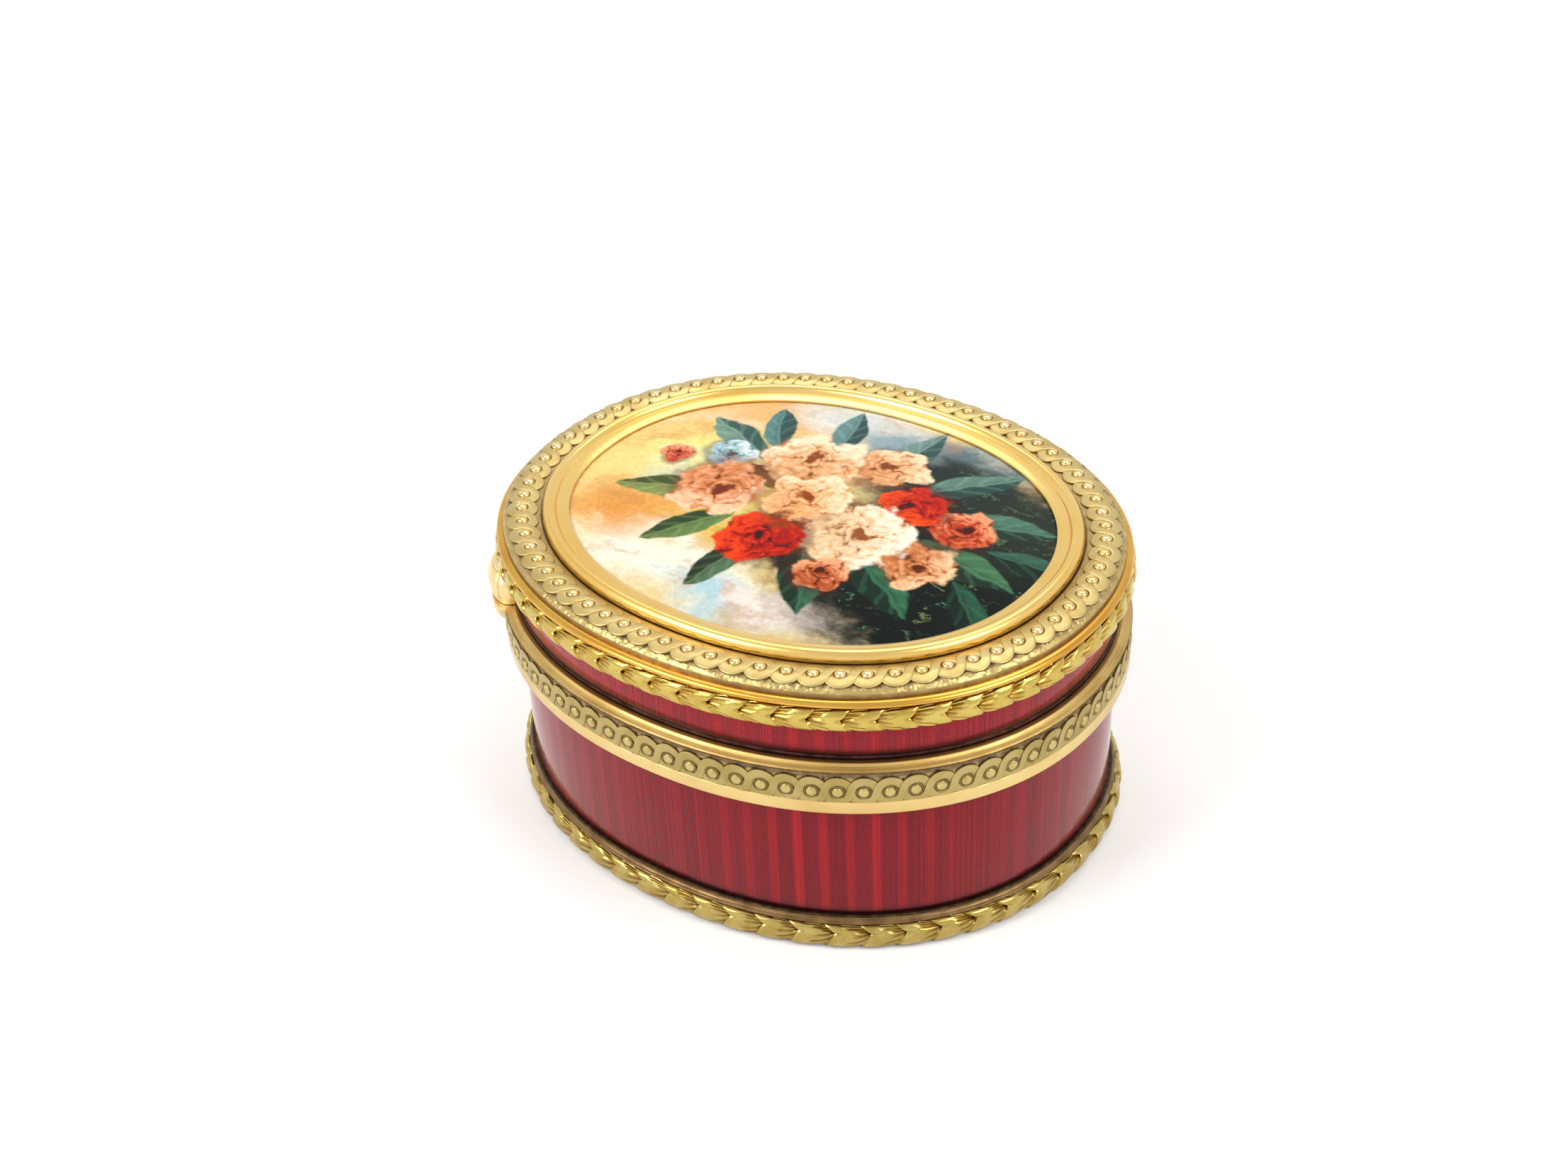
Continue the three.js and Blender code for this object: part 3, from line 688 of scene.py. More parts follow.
def leaf_face(n, slip, bold, swell, pitch, half_girth):
    """Leaf n of a moulding: its places along and across, its heights and its darkening, in rows from its root."""
    b = np.linspace(-1, 1, LEAF_COLS)[None, :]
    from_rib = np.abs(b)
    tail = LEAF_TAIL * from_rib ** 0.9
    x = -0.04 + np.linspace(0, 1, LEAF_ROWS)[:, None] * (1.04 + tail)
    from_end = (1 + tail - x) * pitch
    y = b * np.tanh((x + 0.07) / 0.26)
    from_root = np.hypot((x - 0.04) * pitch, y * half_girth)
    # Rays, cut with a graver from the root
    ray = np.mod((b + 1 + slip) / 2 * RAYS + 0.12 * math.sin(n * 2.4) * (1 - b * b), 1)
    ridge = 1 - np.abs(2 * ray - 1)
    end_of_rays = 0.52 + LEAF_TAIL * from_rib + 0.1 * np.cos(b * 6 + n)
    cut = smooth_step(0.02, 0.1, x) * (1 - smooth_step(end_of_rays - 0.2, end_of_rays + 0.1, x))
    # The face rises from the root, swells on both lobes, and falls at the tails, the notch and the sides
    height = -0.22 + 0.28 * smooth_step(0.02, 0.62, x)
    height = height - ROOT_DEPTH * bell(from_root, 0.2)
    height = height - RAY_DEPTH * bold * (1 - ridge) * cut
    height = height + swell * bell(from_rib - 0.4, 0.25) * smooth_step(0.5, 0.9, x)
    height = height - TAIL_DEPTH * np.exp(-from_end / 0.16)
    height = height - NOTCH_DEPTH * bell(y * half_girth, 0.13) * smooth_step(0.7, 1.0, x)
    side_depth = 0.12 + 0.25 * (1 - smooth_step(0.05, 0.6, x)) + 0.25 * smooth_step(1.1, 1.4, x)
    height = height - side_depth * smooth_step(0.7, 1.0, from_rib)
    # Darkening: dirt in the cuts, and painted shade in the deep notch at the root, towards the root and along the
    # sides
    tone = 2.0 * bell(from_root, 0.22) + cut * (0.05 + 0.75 * (1 - ridge) ** 1.5)
    tone = tone + 0.2 * (1 - smooth_step(0.08, 0.4, x)) + 0.4 * smooth_step(0.85, 1, from_rib) * (x < 0.75)
    return x, y, height, tone


def make_laurel(name, body, node, finish, count, phase, way, nose, notch, undercut, seed, shade_under=0.0):
    """A round moulding wrapped in overlapping fish-tailed leaves, with rays cut from the root of each.

    way is 1 where the tails point counter-clockwise, nose is the depth of the rounding, notch is the angle of the
    leaf's middle on the moulding, and undercut is how far the ends of the lower and upper lobes slope, in leaves.
    """
    low, high = heights(node)
    out = reach(node)
    wide, tall = nose, (high - low) / 2
    across, middle = out - wide, (low + high) / 2
    pitch = arc_table(out)[1][-1] / count
    half_girth = math.pi / 2 * math.sqrt((wide ** 2 + tall ** 2) / 2)
    chance = np.random.default_rng(seed)
    rows = LEAF_ROWS + 2
    patch = sheet_faces(rows, LEAF_COLS)
    if way > 0:
        patch = patch[:, ::-1]
    b = np.linspace(-1, 1, LEAF_COLS)
    lower = b < 0
    slope = np.where(lower, undercut[0], undercut[1]) * smooth_step(0, 0.3, np.abs(b))
    points, faces, tones = [], [], []
    for n in range(count):
        shift, slip = chance.normal(0, LEAF_STRAY), chance.normal(0, RAY_STRAY)
        bold, swell = 1 + chance.normal(0, DEPTH_STRAY), LOBE_SWELL + chance.normal(0, LOBE_STRAY)
        x, y, height, tone = leaf_face(n, slip, bold, swell, pitch, half_girth)
        angle = notch + y * np.where(y > 0, 90 - notch, 90 + notch)
        # The underside of the moulding is painted darker as shade, by shade_under
        tone = np.clip(tone + shade_under * smooth_step(25, 60, -angle), 0, 2)
        # Two more rows take the ends of the leaf down to the moulding
        x, angle, height, tone = (np.vstack([v, v[-1:], v[-1:]]) for v in (x, angle, height, tone))
        x[-1] += slope
        height[-2] -= 0.06
        height[-1] = LEAF_FOOT
        # The end walls are painted darker as shade, the lower ones more, as they face down, away from the light
        tone[-2] = np.where(lower, 0.35, 0.1)
        tone[-1] = np.where(lower, 0.85, 0.35)
        angle = np.radians(angle)
        face_x, face_z = np.cos(angle) / wide, np.sin(angle) / tall
        size = np.hypot(face_x, face_z)
        offset = across + wide * np.cos(angle) + height * face_x / size
        z = middle + tall * np.sin(angle) + height * face_z / size
        points.append(place((n + phase + shift + way * x) / count, offset, z, out).reshape(-1, 3))
        tones.append(tone.ravel())
        faces.append(patch + n * rows * LEAF_COLS)
    # The core shows only between the leaves, and is painted nearly black as shade
    core = arc(across - 0.05, middle, wide - 0.4, tall - 0.35, -90, 90, 14)
    core = [(wall_outside, middle - tall + 0.3), *core, (wall_outside, middle + tall - 0.3)]
    make_ring(name + "_core", core, finish, "chased_gold", body, [node], dirt_and_shade=lambda offset, z: 1.2)
    make_piece(name, np.concatenate(points), np.concatenate(faces), finish, "chased_gold", body, [node],
               np.concatenate(tones), crease=22)


# Rim with the groove in which the hinge lies

pin_low, pin_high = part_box("hinge_pin")
knuckle_low, knuckle_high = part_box("body_knuckle_1")
hinge_y, hinge_z = (pin_low.y + pin_high.y) / 2 / MM, (pin_low.z + pin_high.z) / 2 / MM
barrel_radius = (knuckle_high.y - knuckle_low.y) / 2 / MM
GROOVE_CLEARANCE = 0.15
RIM_SHOULDER = 1.2
# How far in the rim meets the body's band, and the steps of its flat top under the lid
RIM_SEAT = 0.5
RIM_TOP_STEPS = 16
# The rim's face: a small round edge above a shallow hollow and a rounded outer edge, as (inwards, down)
RIM_LINE = [(0, 0.76), (0.01, 0.68), (0.06, 0.6), (0.16, 0.53), (0.36, 0.45), (0.6, 0.34), (0.8, 0.23),
            (0.92, 0.13), (0.99, 0.06), (1.08, 0.015), (1.2, 0)]


def make_rim():
    out = band_face
    ledge = out - RIM_SHOULDER
    section = [(wall_outside, rim_low), (out - RIM_SEAT, rim_low), (out - RIM_SEAT, rim_low + BAND_TOP - 0.02),
               (out - 0.04, rim_low + BAND_TOP)]
    section += [(out - inward, rim_high - depth) for inward, depth in RIM_LINE]
    section += [(o, rim_high) for o in np.linspace(ledge, wall_outside, RIM_TOP_STEPS)[1:]]
    points, faces, uv = ring_mesh(section)
    # The groove for the hinge
    groove_end = knuckle_reach() + GROOVE_CLEARANCE
    in_groove = (np.abs(points[:, 0]) < groove_end) & (points[:, 1] > 0)
    radius = barrel_radius + GROOVE_CLEARANCE
    across = points[:, 1] - hinge_y
    floor = hinge_z - np.sqrt(np.clip(radius ** 2 - across ** 2, 0, None))
    sunk = in_groove & (np.abs(across) < radius) & (points[:, 2] > floor)
    points[sunk, 2] = np.maximum(floor[sunk], rim_low)

    def dirt_and_shade(offset, z):
        """Painted shade on the top, in under the lid, and grime with painted shade below the round edge."""
        if offset < ledge + 0.05 and z > rim_high - 0.05:
            return 1.2 * float(smooth_step(ledge - 0.28, ledge - 0.44, offset))
        return 0.95 * float(smooth_step(rim_high - 0.45, rim_high - 0.75, z))

    tones = np.tile([dirt_and_shade(o, z) for o, z in section], RING_STEPS)
    make_piece("mouth_rim", points, faces, rim_gold, "polished_gold", "body", ["body_rim"], tones, uv)


# Hinge

KNUCKLES = ["body_knuckle_1", "lid_knuckle_1", "body_knuckle_2", "lid_knuckle_2", "body_knuckle_3"]
KNUCKLE_SIDES = 32
KNUCKLE_EDGE = 0.08
PIN_RADIUS = 0.33
PIN_CLEARANCE = 0.09


def knuckle_reach():
    return max(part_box(node)[1].x for node in KNUCKLES) / MM


def lathe_along_x(profile):
    """Points and faces of a part turned round the hinge. The profile is closed, of (x, radius) points."""
    turns = np.arange(KNUCKLE_SIDES) * 2 * np.pi / KNUCKLE_SIDES
    x, radius = np.array(profile).T
    points = np.stack([np.repeat(x, KNUCKLE_SIDES), hinge_y + np.outer(radius, np.cos(turns)).ravel(),
                       hinge_z + np.outer(radius, np.sin(turns)).ravel()], -1)
    return points, sheet_faces(len(profile), KNUCKLE_SIDES, True, True)


LUG_STEPS = 8
LUG_EDGE = 0.06
# How far a lug goes into the lid's strip, and how far into the barrel
LUG_ROOT = 0.1
LUG_OVERLAP = 0.2
BACK_STEPS = 721


def make_lug(node, left, right):
    """The tongue that joins a lid knuckle to the lid's lower strip."""
    low, high = heights("lid_rim")
    x = np.linspace(left, right, LUG_STEPS + 1)
    ox, oy, nx, ny = oval(np.linspace(0, np.pi, BACK_STEPS))
    strip = reach("lid_rim") - LUG_ROOT
    inner = np.interp(x, (ox + strip * nx)[::-1], (oy + strip * ny)[::-1])
    outer = hinge_y - barrel_radius + LUG_OVERLAP
    section = [(0, low + LUG_EDGE), (0, high - LUG_EDGE), (LUG_EDGE, high), (1, high), (1, low), (LUG_EDGE, low)]
    points = [(at, start + (outer - start) * share, z) for at, start in zip(x, inner) for share, z in section]
    count = len(section)
    ends = [tuple(range(count - 1, -1, -1)), tuple(range(LUG_STEPS * count, LUG_STEPS * count + count))]
    faces = [*sheet_faces(LUG_STEPS + 1, count, closed_cols=True)[:, OVER], *ends]
    make_piece(node + "_lug", points, faces, polished_gold, "polished_gold", "lid", [node])


# The barrels are drawn a hair inside their CAD solids
BARREL_GAP = 0.001
# One end of the pin, as (inwards, radius)
PIN_END = [(0, 0.001), (0.02, PIN_RADIUS * 0.7), (0.12, PIN_RADIUS)]


def make_hinge():
    bore = PIN_RADIUS + PIN_CLEARANCE
    outside = barrel_radius - BARREL_GAP
    for node in KNUCKLES:
        left, right = (corner.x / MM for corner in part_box(node))
        points, faces = lathe_along_x([
            (left, bore), (left, outside - KNUCKLE_EDGE), (left + KNUCKLE_EDGE, outside),
            (right - KNUCKLE_EDGE, outside), (right, outside - KNUCKLE_EDGE), (right, bore)])
        body = node.split("_")[0]
        make_piece(node + "_barrel", points, faces, polished_gold, "polished_gold", body, [node])
        if body == "lid":
            make_lug(node, left, right)
    left, right = pin_low.x / MM, pin_high.x / MM
    profile = [(left + inward, radius) for inward, radius in PIN_END]
    profile += [(right - inward, radius) for inward, radius in reversed(PIN_END)]
    make_piece("pin", *lathe_along_x(profile), polished_gold, "polished_gold", "body", ["hinge_pin"])


# Lid

def make_lid():
    inside = wall_inside + LID_CLEARANCE
    make_ring("lid_shell", box_section(inside, wall_outside, *heights("lid_wall")), lining_gold, "polished_gold",
              "lid", ["lid_wall"])
    strip = box_section(wall_outside, reach("lid_rim"), *heights("lid_rim"), STRIP_EDGE)
    make_ring("lid_edge_strip", strip, wax_and_shade_gold, "polished_gold", "lid", ["lid_rim"])
    skin = box_section(wall_outside, reach("lid_enamel"), *heights("lid_enamel"))
    make_ring("lid_enamel_skin", skin, lid_enamel, "red_enamel", "lid", ["lid_enamel"], along=enamel_face)
    make_plate("lid_lining_plate", inside, "lid", "lid_lining")


def make_cordon():
    low, high = heights("lid_cordon")
    out = reach("lid_cordon")
    seat, frame_low = reach("lid_frame"), heights("lid_frame")[0]
    section = [(wall_outside, low)]
    section += arc(seat, (low + high) / 2, out - seat, (high - low) / 2, -90, 90, 24)
    section += [(seat, frame_low), (wall_outside, frame_low)]

    def dirt_and_shade(offset, z):
        """Painted shade along its lower side, and a dark joint where it meets the frame plate."""
        below = 0.95 * float(smooth_step(low + 0.55, low + 0.05, z))
        inside = 0.6 * float(smooth_step(seat + 0.3, seat, offset))
        return max(below, inside)

    make_ring("lid_cordon_bead", section, drawn_gold, "polished_gold", "lid", ["lid_cordon"], dirt_and_shade=dirt_and_shade)


PICTURE_OPENING = 5.95
GROUND_INSIDE = -2.68
# The ground beside the ribbon: offset and depth below the ribbon band's top, and its darkening from dirt and
# painted shade
GROUND_LINE = [(0.05, 0.88, 0.3), (0.13, 0.82, 0.15), (0.28, 0.68, 0.2), (0.45, 0.54, 0.35), (0.62, 0.45, 0.5),
               (0.82, 0.41, 0.5), (1.2, 0.42, 0.4)]
# The slope is chipped: facets for each bead, and their depth
CHIPS_PER_BEAD = 14
CHIP_DEPTH = 0.045
# Dark spots between the beads: their strongest toning, and their place and width in beads
SPOT_TONING = 0.45
SPOT_PLACE = 0.42
SPOT_WIDTH = 0.07


def make_lid_ground():
    """The plate under the ribbon. It slopes outwards from the ribbon, and its slope is rough with small facets."""
    low, high = heights("lid_frame")
    out = reach("lid_frame")
    top = heights("lid_ribbon_band")[1]
    section = [(-PICTURE_OPENING, low), (out - 0.03, low), (out, low + 0.05), (out, high + 0.1)]
    # Darker down the outer wall and nearly black in the crevice beside the bezel: dirt and painted shade
    tone = [0, 0.6, 0.6, 0.5]
    slope = len(section)
    section += [(out - inward, top - depth) for inward, depth, _ in GROUND_LINE]
    tone += [grime_and_shade for _, _, grime_and_shade in GROUND_LINE]
    section += [(-1.2, top - 0.42), (GROUND_INSIDE + 0.3, top - 0.46), (GROUND_INSIDE, top - 0.56),
                (GROUND_INSIDE - 0.02, high), (-PICTURE_OPENING, high)]
    tone += [0.4, 0.45, 0.9, 1.1, 1.1]
    steps = LID_BEADS * CHIPS_PER_BEAD
    points, faces, uv = ring_mesh(section, steps=steps)
    rough = np.zeros((steps, len(section)))
    chance = np.random.default_rng(21)
    rough[:, slope + 1:slope + 6] = chance.normal(0, CHIP_DEPTH, (steps, 5))
    points[:, 2] += rough.ravel()
    unit = np.mod(np.arange(steps) / CHIPS_PER_BEAD - LID_PHASE, 1)
    tones = np.tile(tone, (steps, 1))
    spots = np.repeat(chance.uniform(0.0, SPOT_TONING, LID_BEADS), CHIPS_PER_BEAD)
    tones[:, slope + 4:slope + 6] += (spots * bell(unit - SPOT_PLACE, SPOT_WIDTH))[:, None]
    make_piece("lid_ground", points, faces, ground_gold, "matte_gold", "lid", ["lid_frame"], tones, uv, crease=18)


# Picture and its bezel

# Places from the oval inwards, then heights above the bezel's underside
BEZEL_OUTSIDE = 2.75
BEZEL_STEP_WIDTH = 1.5
BEZEL_OVERLAP = 0.25
BEZEL_RABBET = 0.6
BEZEL_BEAD = 0.75
BEZEL_LIP = 0.9
BEZEL_STEP = 1.15
PICTURE_OUTLINE = 6.05
PICTURE_THICKNESS = 1.25
PICTURE_RISE = 1.1


def make_bezel():
    low, high = heights("picture_bezel")
    inside = PICTURE_OPENING + BEZEL_OVERLAP
    bead_inside = inside - BEZEL_STEP_WIDTH
    middle = -(bead_inside + BEZEL_OUTSIDE) / 2
    wide = (bead_inside - BEZEL_OUTSIDE) / 2
    foot, lip, step = low + BEZEL_BEAD, low + BEZEL_LIP, low + BEZEL_STEP
    section = [(-inside, low + BEZEL_RABBET), (-PICTURE_OPENING, low + BEZEL_RABBET), (-PICTURE_OPENING, low),
               (-BEZEL_OUTSIDE - 0.1, low), (-BEZEL_OUTSIDE - 0.02, foot - 0.2)]
    section += arc(middle, foot, wide, high - foot, 0, 148, 26)
    # The sloping step, from the bead in to the picture
    section += [(-bead_inside + 0.06, step + 0.02), (-bead_inside - 0.1, step), (-bead_inside - 0.55, step - 0.03),
                (-inside + 0.45, lip + 0.1), (-inside + 0.18, lip), (-inside + 0.04, lip - 0.06),
                (-inside, lip - 0.14)]

    def dirt_and_shade(offset, z):
        """Grime and painted shade lie along its foot, outside, in the crevice by the ribbon."""
        return float(smooth_step(foot + 0.15, low + 0.3, z)) if offset > -BEZEL_OUTSIDE - 0.3 else 0.0

    make_ring("picture_bezel_ring", section, polished_gold, "polished_gold", "lid", ["picture_bezel"],
              dirt_and_shade=dirt_and_shade, crease=32)


# Rings of the domed plaque, and points round each
DOME_RINGS = 30
PICTURE_STEPS = 240


def make_picture(finish):
    low, _ = heights("picture_plaque")
    edge = low + PICTURE_THICKNESS
    share = np.arange(PICTURE_STEPS) / PICTURE_STEPS
    outline = place(share, -PICTURE_OUTLINE, edge)
    rings = [outline * [1, 1, 0] + [0, 0, low], outline]
    for k in range(1, DOME_RINGS):
        size = math.cos(math.pi / 2 * k / DOME_RINGS)
        rings.append(outline * [size, size, 1] + [0, 0, PICTURE_RISE * (1 - size ** 2)])
    points = np.concatenate([*rings, [[0, 0, edge + PICTURE_RISE]], [[0, 0, low]]])
    top, bottom = len(points) - 2, len(points) - 1
    last = (len(rings) - 1) * PICTURE_STEPS
    faces = [*sheet_faces(len(rings), PICTURE_STEPS, closed_cols=True)]
    for i in range(PICTURE_STEPS):
        j = (i + 1) % PICTURE_STEPS
        faces += [(last + i, last + j, top), (j, i, bottom)]
    make_piece("picture", points, faces, finish, "painted_enamel", "lid", ["picture_plaque"])


# The picture is a spray of flowers against clouds and dark leaves, in a design of its own.
# Places are shares of the picture's half length and half width, with the hinge side up.
PICTURE_HALF_LENGTH = 31.9
PICTURE_HALF_WIDTH = 25.9
SPRAY_SIZE = 1.15
# Soft patches of the sky: place, half sizes, colour, softness
WASHES = [
    (-0.75, 0.35, 0.5, 0.5, "#F0BC78", 0.9), (-0.85, -0.2, 0.4, 0.45, "#EBCB86", 0.9),
    (-0.4, 0.05, 0.55, 0.45, "#F0E088", 0.8), (-0.62, -0.42, 0.35, 0.25, "#DC9A54", 0.8),
    (-0.55, 0.72, 0.4, 0.28, "#E8B47A", 0.8), (-0.3, -0.7, 0.45, 0.3, "#EDE6D2", 0.6),
    (0.05, -0.82, 0.4, 0.22, "#A9C8D0", 0.8), (0.3, -0.75, 0.3, 0.2, "#EAD8CC", 0.6),
    (-0.15, 0.8, 0.4, 0.25, "#CDD0CA", 0.6), (0.12, 0.68, 0.3, 0.22, "#8CA0A6", 0.7),
    (-0.55, -0.1, 0.25, 0.16, "#9CC2B4", 0.9), (0.38, 0.85, 0.35, 0.2, "#5E727A", 0.7),
    (-0.2, -0.35, 0.3, 0.2, "#D9B45C", 0.9),
]
# Dark leafage on the right: place, half sizes, colour, softness
SHADES = [
    (0.62, -0.1, 0.6, 0.8, "#0E1813", 0.35), (0.45, 0.5, 0.45, 0.35, "#16241F", 0.5),
    (0.75, -0.45, 0.35, 0.45, "#080F0C", 0.4), (0.15, -0.25, 0.35, 0.3, "#16221A", 0.4),
    (0.8, 0.4, 0.3, 0.4, "#20281F", 0.5),
]
# Leaves of the spray: place, turn in degrees, half length, half width, light and dark colour
LEAVES = [
    (-0.48, 0.34, 155, 0.2, 0.075, "#7FA08C", "#2E5048"), (-0.4, 0.5, 120, 0.17, 0.065, "#5F8A84", "#23443F"),
    (-0.52, -0.16, 200, 0.19, 0.07, "#8E9A5A", "#3E4A22"), (-0.3, -0.36, 235, 0.18, 0.07, "#6F8A50", "#2C3E1E"),
    (-0.08, -0.52, 262, 0.17, 0.06, "#5E7A5A", "#20301C"), (0.2, -0.42, 300, 0.22, 0.08, "#3F6A50", "#142A1E"),
    (0.44, -0.3, 325, 0.22, 0.08, "#3A7050", "#11261B"), (0.62, -0.02, 350, 0.22, 0.08, "#4E7C58", "#162C20"),
    (0.6, 0.3, 20, 0.22, 0.08, "#56806A", "#1A3026"), (0.4, 0.52, 50, 0.2, 0.075, "#6A8C7C", "#22403A"),
    (0.12, 0.62, 85, 0.2, 0.07, "#7A9A92", "#2A4A48"), (-0.16, 0.62, 105, 0.18, 0.065, "#6E9490", "#244240"),
    (0.78, -0.3, 315, 0.2, 0.07, "#2E5A44", "#0D1E16"), (0.82, 0.14, 5, 0.18, 0.06, "#3C6650", "#11241A"),
    (0.3, 0.22, 40, 0.16, 0.07, "#4A6A3C", "#182612"), (-0.22, 0.12, 170, 0.15, 0.06, "#6E7A3E", "#2E3618"),
]
# Flowers: place, half size, turn, then light, middle and deep colour
FLOWERS = [
    (0.52, 0.2, 0.13, 0.9, "#F2A27A", "#B8452C", "#3E0F0A"),
    (-0.44, 0.2, 0.1, 2.0, "#E4ECE8", "#93B4BC", "#3A5A62"),
    (0.1, 0.46, 0.15, 1.3, "#F8DCB4", "#D99866", "#7A3A1A"),
    (0.5, -0.12, 0.14, 2.6, "#F2C89C", "#C07446", "#54200E"),
    (-0.16, 0.32, 0.21, 0.4, "#FBE4C4", "#E0A672", "#84401E"),
    (0.3, 0.24, 0.13, 4.4, "#F0603A", "#B4201A", "#420806"),
    (-0.34, -0.06, 0.19, 3.3, "#F6CCA6", "#D08254", "#6C2A14"),
    (0.24, -0.08, 0.21, 2.1, "#FDEFD8", "#E4BC8E", "#8E5230"),
    (-0.04, -0.3, 0.16, 5.2, "#EC5030", "#A81A14", "#360604"),
    (-0.04, 0.06, 0.17, 1.0, "#FCE2BC", "#E6A670", "#8A421A"),
    (-0.62, 0.1, 0.07, 0.2, "#F2A880", "#C04E36", "#52160E"),
    (0.26, -0.38, 0.1, 0.7, "#ECAA80", "#AE5232", "#461810"),
]


def soft_patch(tree, spot, x, y, wide, tall, soft):
    """The share of a soft patch of colour at a place of the picture."""
    moved = add(tree, "VectorMath ADD", spot, (-x, -y, 0.0))
    scaled = add(tree, "VectorMath MULTIPLY", moved, (1 / wide, 1 / tall, 0.0))
    away = add(tree, "VectorMath LENGTH", scaled)
    return add(tree, "MapRange SMOOTHSTEP", away, 1 - soft, 1 + soft * 0.4, 1.0, 0.0)


def wander(tree, spot, scale, detail, roughness=0.5):
    """Two noises from -0.5 to 0.5, which push a place about."""
    parts = []
    for shift in (0.0, 7.0):
        moved = add(tree, "VectorMath ADD", spot, (shift, shift, 0.0))
        noise = add(tree, "TexNoise", {"Vector": moved, "Scale": scale, "Detail": detail, "Roughness": roughness})
        parts.append(add(tree, "Math SUBTRACT", noise, 0.5))
    return add(tree, "CombineXYZ", *parts)


VECTOR, NUMBER, COLOUR = "NodeSocketVector", "NodeSocketFloat", "NodeSocketColor"


def new_group(name, **sockets):
    """A node group with these inputs, and one colour as its result."""
    group = bpy.data.node_groups.new(name, "ShaderNodeTree")
    for label, kind in sockets.items():
        group.interface.new_socket(label, in_out="INPUT", socket_type=kind)
    group.interface.new_socket("Colour", in_out="OUTPUT", socket_type=COLOUR)
    return group, group.nodes.new("NodeGroupInput").outputs, group.nodes.new("NodeGroupOutput").inputs["Colour"]


def local_spot(tree, given):
    """The place relative to a motif's middle, turned and scaled so that its edge is at 1."""
    moved = add(tree, "VectorMath SUBTRACT", given["Spot"], given["Middle"])
    turned_spot = add(tree, "VectorRotate Z_AXIS", {"Vector": moved, "Angle": given["Turn"]})
    return add(tree, "VectorMath DIVIDE", turned_spot, given["Size"])


# Layers of a painted rose, from the outside in: size, petals, twist, share of light
ROSE_LAYERS = [(1.0, 5.0, 0.0, 1.0), (0.78, 5.0, 0.7, 0.9), (0.56, 4.0, 0.2, 0.75), (0.34, 3.0, 1.3, 0.55)]


def flower_group():
    """A full-blown rose in soft layers of petals, dark at the heart and light at the rims."""
    tree, given, result = new_group(
        "painted_flower", Spot=VECTOR, Middle=VECTOR, Turn=NUMBER, Size=VECTOR, Wobble=VECTOR, Dabs=NUMBER,
        Light=COLOUR, Half=COLOUR, Deep=COLOUR, Under=COLOUR)
    spot = add(tree, "VectorMath MULTIPLY_ADD", given["Wobble"], (1.0, 1.0, 0.0), local_spot(tree, given))
    shadow = add(tree, "VectorMath LENGTH", add(tree, "VectorMath ADD", spot, (-0.1, 0.16, 0.0)))
    shadow = add(tree, "MapRange SMOOTHSTEP", shadow, 0.8, 1.15, 0.6, 0.0)
    painted = add(tree, "Mix RGBA", shadow, given["Under"], given["Deep"])
    lit = add(tree, "VectorMath DOT_PRODUCT", spot, (-1.0, 1.0, 0.0))
    lit = add(tree, "MapRange SMOOTHSTEP", lit, -0.9, 0.9)
    for size, petals, twist, share in ROSE_LAYERS:
        middle = add(tree, "VectorMath ADD", spot, (0.1 * (1 - size), -0.12 * (1 - size), 0.0))
        up = add(tree, "VectorMath DOT_PRODUCT", middle, (0.0, 1.0, 0.0))
        turn = add(tree, "Math ARCTAN2", up, add(tree, "VectorMath DOT_PRODUCT", middle, (1.0, 0.0, 0.0)))
        lobes = add(tree, "Math COSINE", add(tree, "Math MULTIPLY_ADD", turn, petals / 2, twist))
        lobes = add(tree, "Math ABSOLUTE", lobes)
        outline = add(tree, "Math MULTIPLY_ADD", add(tree, "Math POWER", lobes, 0.5), 0.17 * size, 0.8 * size)
        inside = add(tree, "Math DIVIDE", add(tree, "VectorMath LENGTH", middle), outline)
        crease = add(tree, "MapRange SMOOTHSTEP", lobes, 0.0, 0.5, 0.3, 1.0)
        shade = add(tree, "MapRange SMOOTHSTEP", inside, 0.3, 1.0)
        shade = add(tree, "Math MULTIPLY", shade, crease)
        shade = add(tree, "Math MULTIPLY", shade, add(tree, "Math MULTIPLY_ADD", lit, 0.45, 0.6))
        shade = add(tree, "Math MULTIPLY_ADD", given["Dabs"], 0.9, shade)
        half = add(tree, "MapRange SMOOTHSTEP", shade, 0.0, 0.45)
        petal = add(tree, "Mix RGBA", half, given["Deep"], given["Half"])
        light = add(tree, "MapRange SMOOTHSTEP", shade, 0.4, 1.0, 0.0, share)
        petal = add(tree, "Mix RGBA", light, petal, given["Light"])
        cover = add(tree, "MapRange SMOOTHSTEP", inside, 0.88, 1.03, 1.0, 0.0)
        painted = add(tree, "Mix RGBA", cover, painted, petal)
    tree.links.new(first_output(painted), result)
    return tree


